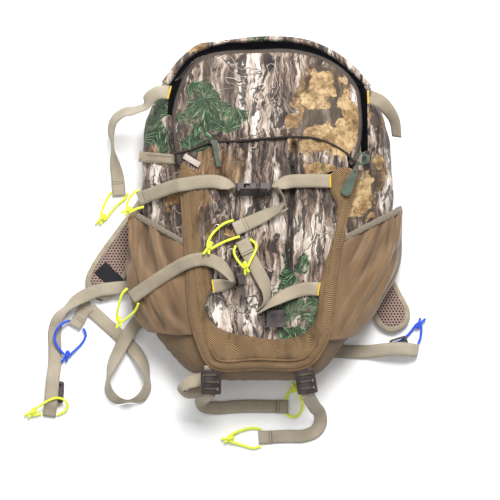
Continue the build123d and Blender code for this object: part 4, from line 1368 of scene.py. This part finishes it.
SIDE_SIGN = {"left": -1, "right": 1}
MOUTHS = {"left": ((-187, 6), (-123, -31)), "right": ((204, 14), (121, -29))}
FEET = {
    "left": [(-95, -179), (-130, -181), (-184, -176), (-230, -180)],
    "right": [(90, -189), (122, -187), (180, -176), (230, -180)],
}
ELASTIC_WIDTH, ELASTIC_COLUMNS = 8.0, 130


def side_line(outline, sign):
    """One side of an outline as x over y."""
    half = outline[(outline[:, 0] * sign > 0) & (np.abs(outline[:, 1]) < 246)]
    return half[np.argsort(half[:, 1])]


def pocket_point(side, s, y, stand_off):
    """A point on the bag's side, at level s and place y, moved out by stand_off."""
    sign = SIDE_SIGN[side]
    lines = [side_line(outline, sign) for outline in (widest * BASE_SCALE, widest, front)]
    x_back, x_wide, x_front = (np.interp(y, line[:, 1], line[:, 0]) for line in lines)
    x = level(s, x_back, x_wide, x_front)
    z = level(s, BACK_Z, WIDEST_Z, FRONT_Z)
    slope_x = level(s + 0.01, x_back, x_wide, x_front) - level(s - 0.01, x_back, x_wide, x_front)
    slope_z = level(s + 0.01, BACK_Z, WIDEST_Z, FRONT_Z) - level(s - 0.01, BACK_Z, WIDEST_Z, FRONT_Z)
    size = np.hypot(slope_x, slope_z)
    out_x, out_z = slope_z / size * sign, -slope_x / size * sign
    return x + out_x * stand_off, z + out_z * stand_off


def pocket_place(side, s, share):
    """The point at level s of the bag's side and a share of the way from the pocket's mouth to its foot."""
    (x0, y0), (x1, y1) = MOUTHS[side]
    foot = sorted(FEET[side])
    y = np.full(np.broadcast(s, share).shape, -90.0)
    stand_off = 2.5 + 10.5 * np.sin(np.pi * np.clip((1 - s) * 0.62, 0, 1)) ** 0.8
    full = 0.55 + 0.45 * np.sin(np.pi * np.clip(share * 0.9 + 0.05, 0, 1))
    for _ in range(6):
        x, z = pocket_point(side, s, y, stand_off * full)
        mouth_y = y0 + (y1 - y0) / (x1 - x0) * (x - x0)
        foot_y = np.interp(x, [p[0] for p in foot], [p[1] for p in foot])
        y = 0.5 * y + 0.5 * (mouth_y * (1 - share) + foot_y * share)
    return np.stack([x, y, z], -1), stand_off * full


POCKET_ROWS, POCKET_COLUMNS = 90, 110
POCKET_SIZE = 150.0
# How each side pocket hangs: how slack it is, how far its folds lean, the level of the noise that folds it,
# and where its gathers start.
POCKET_CLOTH = {"left": (0.9, 34, 3.0, 2), "right": (0.45, 62, 11.0, 0)}


def pocket_grid(side):
    """A side pocket from under its band to its foot, gathered and folded, and its lay."""
    s = np.linspace(1.0, 0.02, POCKET_COLUMNS)[None, :] * np.ones((POCKET_ROWS, 1))
    share = np.linspace(0.03, 1.0, POCKET_ROWS)[:, None] * np.ones((1, POCKET_COLUMNS))
    points, off = pocket_place(side, s, share)
    step_s = np.gradient(points, axis=1)
    step_v = np.gradient(points, axis=0)
    outward = unit(np.cross(step_s, step_v))
    if outward[POCKET_ROWS // 2, POCKET_COLUMNS // 2, 0] * SIDE_SIGN[side] < 0:
        outward = -outward
    slack, leans, noise_level, start = POCKET_CLOTH[side]
    across = (1 - s) * POCKET_SIZE
    gathers = np.sin(across / 3.4 + 1.5 * np.sin(across / 11.0 + start))
    near = np.exp(-share * 4.5)
    leaning = across + share * leans
    flat = np.stack([leaning, share * 40, np.full(share.shape, noise_level)], -1)
    folds = slack * rough_noise(flat, (15, 34, 9), 2.9, 2)
    flat = np.stack([leaning, share * POCKET_SIZE, share * 0], -1)
    broad = slack * rough_noise(flat, (34, 48, 9), 6.1, 2)
    calm = np.clip(np.minimum(share, 1 - share) * 14, 0, 1)
    lift_by = near * 2.2 * gathers + calm * (10.0 * folds * np.exp(-share) + 8.0 * broad)
    edge_calm = np.clip((1 - s) * 9, 0.1, 1)
    moved = np.maximum(lift_by, 2.2 - off) * edge_calm
    # The lay's third value, how far the cloth stands out, sets the painted shade in the pocket's folds.
    lay = np.stack([across, share * POCKET_SIZE, moved], -1)
    return points + outward * moved[..., None], lay


for side in ("left", "right"):
    pocket, pocket_lay = pocket_grid(side)
    cloth(f"{side}_pocket_fabric", pocket, NYLON, "bag", 1.0, lay=pocket_lay,
          replaces=[f"side_pocket_{side}"], slot="pocket_nylon")


def elastic_strip(side):
    """The ribbed band along a pocket's mouth, over the gathers."""
    s = np.linspace(1.0, 0.02, ELASTIC_COLUMNS)
    top, _ = pocket_place(side, s, s * 0)
    low, _ = pocket_place(side, s, s * 0 + 0.056)
    down = np.linspace(0, 1, 9)[:, None, None]
    outward = np.array([SIDE_SIGN[side] * 0.6, 0.0, 0.8])
    wave = 0.5 * np.sin(np.arange(ELASTIC_COLUMNS) * 0.9)[:, None]
    grid = top * (1 - down) + low * down + outward * (1.6 + 1.1 * np.sin(np.pi * down) + wave * down)
    lay = np.zeros(grid.shape)
    lay[..., 0] = down[..., 0] * ELASTIC_WIDTH
    lay[..., 1] = np.linspace(0, POCKET_SIZE, ELASTIC_COLUMNS)
    return grid, lay


for side in ("left", "right"):
    band_grid, band_lay = elastic_strip(side)
    cloth(f"{side}_pocket_elastic", band_grid, ELASTIC, "bag", 1.6, lay=band_lay,
          replaces=["pocket_elastics"] if side == "left" else (), slot="elastic")

# Webbing ------------------------------------------------------------------------------------------

UPPER_LEFT = [
    (-45, 38.5, 136, 60), (-54, 44, 130, 25), (-66, 48, 124.6, 0), (-91, 48, ON_POCKET_Z, 0),
    (-112, 45, ON_POCKET_Z, 0), (-122, 43.5, 122, 0), (-131, 41.5, 112, 0), (-140, 39, 102, 0),
    (-152, 35, 93, 0), (-167, 30, 82, 0), (-184, 24, 67, 0),
]
UPPER_RIGHT = [
    (101, 49.5, ON_POCKET_Z, 0), (60, 49.5, ON_POCKET_Z, 0), (38, 48, 125, 5), (27, 43.5, 130, 35),
    (18.5, 39, 136, 62),
]
UPPER_RIGHT_TAIL = [
    (19.5, 39, 136, 65), (28, 31, 135.5, 84), (32, 20, 134.5, 80), (26, 10, 131, 64), (9, 1, 126.5, 34),
    (-12, -9, 124.2, 8), (-41, -22, ON_POCKET_Z, 0),
]
LOWER_LEFT = [(-73, -106, ON_POCKET_Z, 0), (-57, -104, 127, 25), (-42.5, -99, 135, 72)]
LOWER_LEFT_TAIL = [
    (-42, -100, 135, 74), (-53, -84, 131, 45), (-66, -72, 126.5, 15), (-84, -66, 124.2, 0),
    (-103, -68, 124, 0), (-118, -74, 118, 0), (-132, -82, 108, 0), (-150, -93, 99, 0), (-172, -108, 89, 0),
    (-196, -124, 74, 0),
]
LOWER_RIGHT = [
    (84, -110, ON_POCKET_Z, 0), (64, -110, 124, 0), (42, -116, 126.5, 15), (20, -127, 131, 45),
    (3, -138, 134.5, 75), (-7, -144, 132, 78),
]
LOWER_RIGHT_TAIL = [
    (-8, -144, 133, 78), (4, -132, 133.5, 72), (6, -118, 131, 55), (3, -102, 126, 20), (-6, -85, 124.2, 0),
    (-19, -61, ON_POCKET_Z, 0), (-30, -38, ON_POCKET_Z, 0),
]
TOP_LEFT = [
    (-138, 181, 108, 0), (-153, 181, 107, 0), (-167, 173, 100, 10), (-176, 161, 88, 55), (-190, 156, 78, 48),
    (-208, 153, 62, 42), (-222, 143, 48, 46), (-228, 125, 34, 56), (-226, 104, 22, 78), (-223, 80, 12, 42),
    (-219, 56, 5, 8), (-217, 30, 3, 0),
]
TOP_RIGHT = [
    (160, 174, 108, 0), (173, 169, 106.5, 0), (186, 157, 99, 20), (197, 140, 88, 40), (201, 116, 80, 50),
]
BASE_LEFT = [
    (-76, -266, 85, 0), (-85, -272, 62, 0), (-91, -282, 34, 0), (-84, -291.5, 9, 0), (-66, -293, 2, 0),
    (-40, -291, 1.6, 0), (40, -291, 1.6, 0),
]
BASE_LEFT_FOLD = [
    (-80, -243, 86, 0), (-98, -247, 85, 12), (-113, -252, 82, 36), (-121, -260, 76, 62), (-113, -267, 71, 48),
    (-98, -264, 71, 10), (-84, -259, 76, 0),
]
BASE_LEFT_WRAP = [
    (-76, -224, 110.2, 0), (-76, -230, 106.8, 0), (-76, -240, 100.5, 0), (-77, -256, 90, 0),
    (-80, -270, 80, 0),
]
BASE_RIGHT = [
    (68, -268, 85, 0), (73, -278, 62, 0), (80, -290, 36, 4), (88, -302, 14, 8), (89, -315, 5, 4),
    (82, -328, 2, 0), (66, -335, 1.6, 0), (40, -336, 1.6, 0), (-5, -338, 1.6, 0),
]
BASE_RIGHT_WRAP = [
    (62, -223, 110.2, 0), (62, -229, 106.8, 0), (63, -239, 100.5, 0), (66, -256, 90, 0), (70, -272, 80, 0),
]
HARNESS_LEFT = [
    (-178, -152, 9, 0), (-190, -163, 10, 0), (-204, -182, 13, 5), (-216, -204, 14, 16),
    (-227, -226, 13, 40), (-233, -246, 12, 72), (-232, -266, 12, 50), (-222, -279, 12, 44),
    (-203, -282, 12, 76), (-184, -277, 12, 46), (-175, -263, 12, 50), (-174, -246, 12, 70),
    (-180, -226, 10, 40), (-196, -203, 4, 10), (-216, -184, 2, 0), (-240, -162, 2, 0), (-262, -142, 2, 0),
]
HARNESS_LEFT_TAIL = [(-260, -137, 2.8, 0), (-269, -142, 3.2, 0), (-276, -154, 4, 0), (-285, -169, 4.6, 0)]
HARNESS_RIGHT = [
    (103, -206, 2, 0), (135, -207.5, 2, 0), (162, -207, 5, 0), (184, -204, 15.5, 0), (203, -202, 21, 0),
    (222, -203, 20, 0), (237, -206, 9, 0),
]
BELT_LEFT = [
    (-184, -107, 13.7, 0), (-206, -109, 13.9, 0), (-227, -111, 15, 0), (-248, -114, 14.8, 0),
    (-264, -120, 15, 0), (-282, -129, 15, 32), (-298, -143, 12, 58), (-310, -158, 8, 26),
    (-315, -175, 3.5, 4), (-315, -200, 2, 0), (-315, -226, 4.5, 0), (-317, -246, 11.2, 0),
    (-319, -268, 11.2, 0), (-320.5, -287, 10.8, 0), (-322, -295, 6.5, 0), (-323.5, -306, 3, 0),
]
BELT_RIGHT = [(178, -130, 2, 0), (120, -130, 2, 0), (60, -130, 2, 0)]


def webbing(name, route, material, bodies, bend=None, node=None):
    """A strap that rides one body; when bend points are given it rides no body and stays where it lies, and
    the points themselves are not used.
    """
    replaced = {"replaces": [node]} if node else {}
    piece = strip(name, route, material, None if bend else bodies, slot="webbing", **replaced)
    if bend:
        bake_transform(piece)


webbing("upper_left_webbing", UPPER_LEFT, WEBBING, "bag", node="upper_strap_left")
webbing("upper_right_webbing", UPPER_RIGHT, WEBBING, ("bag", "upper_plug"),
        ((0.062, 0.0495, 0.1236), (0.030, 0.045, 0.130)), "upper_strap_right")
webbing("upper_right_tail", UPPER_RIGHT_TAIL, WEBBING, ("upper_plug", "bag"),
        ((0.028, 0.020, 0.134), (0.010, -0.006, 0.124)))
webbing("lower_left_webbing", LOWER_LEFT, WEBBING, ("bag", "lower_plug"),
        ((-0.066, -0.105, 0.124), (-0.046, -0.100, 0.133)), "lower_strap_left")
webbing("lower_left_tail", LOWER_LEFT_TAIL, WEBBING, ("lower_plug", "bag"),
        ((-0.046, -0.094, 0.134), (-0.066, -0.072, 0.1265)))
webbing("lower_right_webbing", LOWER_RIGHT, WEBBING, ("bag", "lower_socket"),
        ((0.030, -0.122, 0.128), (0.000, -0.140, 0.134)), "lower_strap_right")
webbing("lower_right_tail", LOWER_RIGHT_TAIL, WEBBING, ("lower_socket", "bag"),
        ((-0.002, -0.138, 0.134), (0.005, -0.110, 0.128)))
webbing("top_left_webbing", TOP_LEFT, PALE_WEBBING, "bag", node="top_strap_left")
webbing("top_right_webbing", TOP_RIGHT, WEBBING, "bag", node="top_strap_right")
webbing("base_left_webbing", BASE_LEFT, PALE_WEBBING, ("base_lock_left", "bag"),
        ((-0.078, -0.268, 0.080), (-0.090, -0.280, 0.040)), "base_strap_left")
webbing("base_right_webbing", BASE_RIGHT, PALE_WEBBING, ("base_lock_right", "bag"),
        ((0.069, -0.270, 0.080), (0.078, -0.286, 0.044)), "base_strap_right")
webbing("base_left_fold", BASE_LEFT_FOLD, WEBBING, "bag")
webbing("base_left_wrap", BASE_LEFT_WRAP, PALE_WEBBING, ("bag", "base_lock_left"),
        ((-0.076, -0.221, 0.112), (-0.076, -0.236, 0.1035)))
webbing("base_right_wrap", BASE_RIGHT_WRAP, PALE_WEBBING, ("bag", "base_lock_right"),
        ((0.062, -0.220, 0.112), (0.062, -0.235, 0.1035)))
webbing("harness_left_webbing", HARNESS_LEFT, PALE_WEBBING, ("bag", "left_strap"),
        ((-0.180, -0.152, 0.009), (-0.256, -0.142, 0.002)), "harness_webbing_left")
webbing("harness_left_tail", HARNESS_LEFT_TAIL, PALE_WEBBING, "left_strap")
webbing("harness_right_webbing", HARNESS_RIGHT, PALE_WEBBING, ("bag", "right_strap"),
        ((0.120, -0.207, 0.002), (0.190, -0.204, 0.012)), "harness_webbing_right")
webbing("belt_left_webbing", BELT_LEFT, PALE_WEBBING, ("bag", "waist_buckle"),
        ((-0.315, -0.226, 0.0045), (-0.3175, -0.262, 0.0112)), "waist_belt_left")
webbing("belt_right_webbing", BELT_RIGHT, PALE_WEBBING, "bag", node="waist_belt_right")

# Shoulder straps ----------------------------------------------------------------------------------

LEFT_STRAP = [
    (-55, 216, STRAP_Z, 0), (-72, 170, STRAP_Z, 0), (-98, 112, STRAP_Z, 0), (-128, 60, STRAP_Z, 0),
    (-165, 8, STRAP_Z, 0), (-202, -42, STRAP_Z, 0), (-234, -88, STRAP_Z, 0), (-252, -126, STRAP_Z, 0),
]
RIGHT_STRAP = [
    (55, 216, STRAP_Z, 0), (70, 160, STRAP_Z, 0), (88, 92, STRAP_Z, 0), (111, 25, STRAP_Z, 0),
    (144, -45, STRAP_Z, 0), (175, -108, STRAP_Z, 0), (204, -162, STRAP_Z, 0), (211, -175, STRAP_Z, 0),
]


def strap_edges(route):
    """The padded strap's middle line, across directions and half widths, its end rounded."""
    centre, across, _, gone = strip_frames(route, 150)
    left = gone[-1] - gone
    end = STRAP_WIDTH * 0.55
    half = np.where(left < end, STRAP_WIDTH / 2 * np.sqrt(np.clip(1 - ((end - left) / end) ** 2, 0.0004, 1)),
                    STRAP_WIDTH / 2)
    return centre, across, half


def padded_strap(name, route, body, node):
    """A shoulder strap's foam in its mesh cover, crowned on both sides and blown up as cloth."""
    centre, across, half = strap_edges(route)
    columns = np.linspace(-1, 1, 21)
    plan = centre[:, None, :2] + across[:, None, :2] * (columns[None] * half[:, None])[..., None]
    reach = across[:, :2] * half[:, None]
    outline = np.vstack([centre[:, :2] + reach, centre[:, :2] - reach])
    depth = depth_inside(plan, outline)
    crown = (STRAP_THICKNESS / 2 - 0.8) * rounded(depth, 9) + 0.6
    dimples = 0.35 * rough_noise(lift(plan, 0), (22, 22, 22), 8.3)
    top = lift(plan, STRAP_Z + crown + dimples)
    low = lift(plan, STRAP_Z - crown)
    ring = np.concatenate([top, low[:, ::-1]], axis=1)
    pad = closed_roll(name, ring, MESH, body, replaces=[node], slot="strap_mesh")
    swell(pad, 1.2, STRAP_Z - 4.2, STRAP_Z + 4.2, voxel=4.0)


# The strap's tape in section: how far in from the edge, and how high above the strap's middle.
BINDING_SECTION = [(8, 3.9), (5, 3.8), (2, 3), (0.2, 1.6), (-0.5, 0), (0.2, -1.6), (2, -3.2), (7, -3.9)]


def strap_binding(name, route, body):
    """Tape folded over the strap's edge, both sides and round the end."""
    centre, across, half = strap_edges(route)
    one = centre[:, :2] + across[:, :2] * half[:, None]
    other = centre[:, :2] - across[:, :2] * half[:, None]
    edge = smooth(np.vstack([one[:-3:3], one[-3:-2], other[-3:-2], other[:-3:3][::-1]]), 260)
    grid = np.array([lift(inward(edge, inset), STRAP_Z + height) for inset, height in BINDING_SECTION])
    piece = make(name, grid, grid_faces(*grid.shape[:2]), BINDING, body, slot="strap_mesh")
    face_out(piece)
    thicken(piece, 0.8)
    line = lift(inward(edge, 6.6), STRAP_Z + 4.4)
    stitching(f"{name}_stitches", [line], BINDING, body, pitch=3.2, length=2.4, radius=0.3)


padded_strap("left_strap_pad", LEFT_STRAP, "left_strap", "shoulder_strap_left")
strap_binding("left_strap_binding", LEFT_STRAP, "left_strap")
padded_strap("right_strap_pad", RIGHT_STRAP, "right_strap", "shoulder_strap_right")
strap_binding("right_strap_binding", RIGHT_STRAP, "right_strap")


def elastic_band():
    """Black elastic round the left strap."""
    plan = four_cornered(((-237, -70), (-255, -87), (-229, -110), (-204, -103)), 18, 14)
    across = np.linspace(-9, 9, 14)[None, :]
    along = np.linspace(0, 38, 18)[:, None]
    lay = np.stack(np.broadcast_arrays(across, along, 0.0), -1)
    height = STRAP_Z + 4.6 + 0.4 * np.sin(np.pi * along / 38)
    cloth("left_strap_elastic", lift(plan, height), BLACK_ELASTIC, "left_strap", 1.2, lay=lay,
          replaces=["strap_band_left"], slot="black_elastic")


elastic_band()

# Back pads ----------------------------------------------------------------------------------------


def pad_outline(centre, size, corner):
    """A rounded rectangle's outline in plan."""
    half_x, half_y = size[0] / 2 - corner, size[1] / 2 - corner
    points = []
    for sign_x, sign_y, start in ((1, 1, 0), (-1, 1, 90), (-1, -1, 180), (1, -1, 270)):
        for turn in np.linspace(start, start + 90, 12):
            angle = math.radians(turn)
            points.append((centre[0] + sign_x * half_x + corner * math.cos(angle),
                           centre[1] + sign_y * half_y + corner * math.sin(angle)))
    return np.array(points)


def foam_pad(name, centre, size, height, replaces=()):
    """A crowned pad that lies face down: flat below, rounded at its edge."""
    outline = smooth(pad_outline(centre, size, 25), 140, closed=True)
    rings = []
    for inset, z in (
        (8, height), (2, height * 0.92), (0.5, height * 0.6), (0.8, height * 0.3), (5, 0.9), (14, 0.25),
    ):
        rings.append(lift(inward(outline, inset), z))
    middle = np.array(centre, float)
    for share in (0.6, 0.25, 0.02):
        rings.append(lift(middle + (inward(outline, 14) - middle) * share, 0.2))
    for share in (0.02, 0.5):
        rings.insert(0, lift(middle + (inward(outline, 8) - middle) * share, height))
    grid = np.array(rings)
    piece = closed_roll(name, grid, MESH, "bag", replaces=replaces, slot="pad")
    swell(piece, 3.0, 0.0, 11.95)


foam_pad("spine_pad", (0, 10), (86, 296), 10.8, ["back_pads"])
foam_pad("lumbar_pad", (0, -186), (196, 58), 10.8)

# Label tab ----------------------------------------------------------------------------------------

def label_tab():
    """A blank folded tab of the printed cloth, sewn down at its ends."""
    lean = math.radians(-31)
    u = np.linspace(-13.5, 13.5, 16)[None, :]
    v = np.linspace(-4.2, 4.2, 7)[:, None]
    x = -104 + u * math.cos(lean) - v * math.sin(lean)
    y = 79.5 + u * math.sin(lean) + v * math.cos(lean)
    height = 121.4 + 1.5 * np.cos(u / 13.5 * math.pi / 2) + 0 * v
    cloth("blank_label_tab", np.stack([x, y, height], -1), LABEL, "lid", 1.2, replaces=["label_tab"],
          slot="label")


label_tab()

# Stitches and bar tacks ---------------------------------------------------------------------------

front_tree = tree_of(front_camo, front_border, lid_fabric, bag_fabric)
for name, centre, turn in (
    ("upper_right", (100.5, 49.5, 124.9), 90), ("lower_right", (83.5, -110, 124.9), 80),
    ("lower_left", (-72.5, -106, 124.9), 97), ("top_left", (-137.5, 181, 109.4), 75),
    ("top_right", (157, 174, 109.4), 92),
):
    bar_tack(f"bar_tack_{name}", centre, turn, "bag")

seams = [drape(inward(pocket_rim, 18.0)[6:-6], front_tree, 0.15, 112)]
stitching("front_stitches", seams, BROWN_THREAD, "bag", pitch=3.8, length=2.6, radius=0.3)
lid_seam = drape(zip_plan[4:-4] + np.array([0, 5.0]), tree_of(lid_fabric), 0.15, 119)
stitching("lid_stitches", [lid_seam], BROWN_THREAD, "lid", pitch=3.4, length=2.4, radius=0.3)


def hem(name, route, length, body):
    """The doubled end of a webbing strip, with two rows of stitches across it."""
    part = (1 - length / gone_along(np.array(route, float)[:, :3])[-1], 1)
    strip(name, route, PALE_WEBBING, body, width=WEBBING_WIDTH + 0.3, thickness=1.3, raised=1.1, part=part,
          step=2.0)
    centre, across, normal, gone = strip_frames(route, 200)
    lines = []
    for back in (length - 2.0, length - 6.0):
        k = int(np.argmin(np.abs(gone - (gone[-1] - back))))
        shares = np.linspace(-0.44, 0.44, 9)[:, None]
        lines.append(centre[k] + across[k] * WEBBING_WIDTH * shares + normal[k] * 1.95)
    stitching(f"{name}_stitches", lines, HEM_THREAD, body, pitch=2.4, length=2.0, radius=0.42)


for name, route, length, body in (
    ("top_left", TOP_LEFT, 24, "bag"), ("upper_left", UPPER_LEFT, 18, "bag"),
    ("upper_right", UPPER_RIGHT_TAIL, 22, "bag"), ("lower_right", LOWER_RIGHT_TAIL, 24, "bag"),
    ("base_left", BASE_LEFT, 20, "bag"), ("base_right", BASE_RIGHT, 22, "bag"),
    ("harness_left", HARNESS_LEFT_TAIL, 18, "left_strap"),
):
    hem(f"hem_{name}", route, length, body)

# CAD nodes that stay ------------------------------------------------------------------------------

KEPT = {
    "upper_buckle_socket": BUCKLE, "upper_buckle_plug": BUCKLE, "lower_buckle_plug": BUCKLE,
    "lower_buckle_socket": BUCKLE, "base_ladderlock_left": BUCKLE, "base_ladderlock_right": BUCKLE,
    "strap_ladderlock_left": BUCKLE, "strap_ladderlock_right": BUCKLE, "waist_buckle_left": BUCKLE,
    "main_zip_slider": PULL, "main_zip_pull": PULL, "lid_zip_slider": SLIDER, "lid_zip_pull": PULL,
    "frame_sheet": BOARD, "back_panel": BASE_TWILL, "rim_tape": DARK_TAPE, "haul_loop": BINDING,
    "wire_pin": STEEL,
}
for node, material in KEPT.items():
    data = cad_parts[node].data
    data.materials.clear()
    data.materials.append(material)

# Floor, light and finish --------------------------------------------------------------------------

floor = make("floor", [(-3000, -3000, -0.3), (3000, -3000, -0.3), (3000, 3000, -0.3), (-3000, 3000, -0.3)],
             [(0, 1, 2, 3)], pale_floor(), None)
area_light("key_light", (0.3, 1.6, 2.3), 1.2, 112)
area_light("fill_light", (-1.6, -0.4, 2.4), 2.2, 12)
world = bpy.data.worlds.new("studio")
world.use_nodes = True
world.node_tree.nodes["Background"].inputs["Color"].default_value = (1, 1, 1, 1)
world.node_tree.nodes["Background"].inputs["Strength"].default_value = 0.44
bpy.context.scene.world = world
bpy.context.scene.view_settings.view_transform = "Standard"
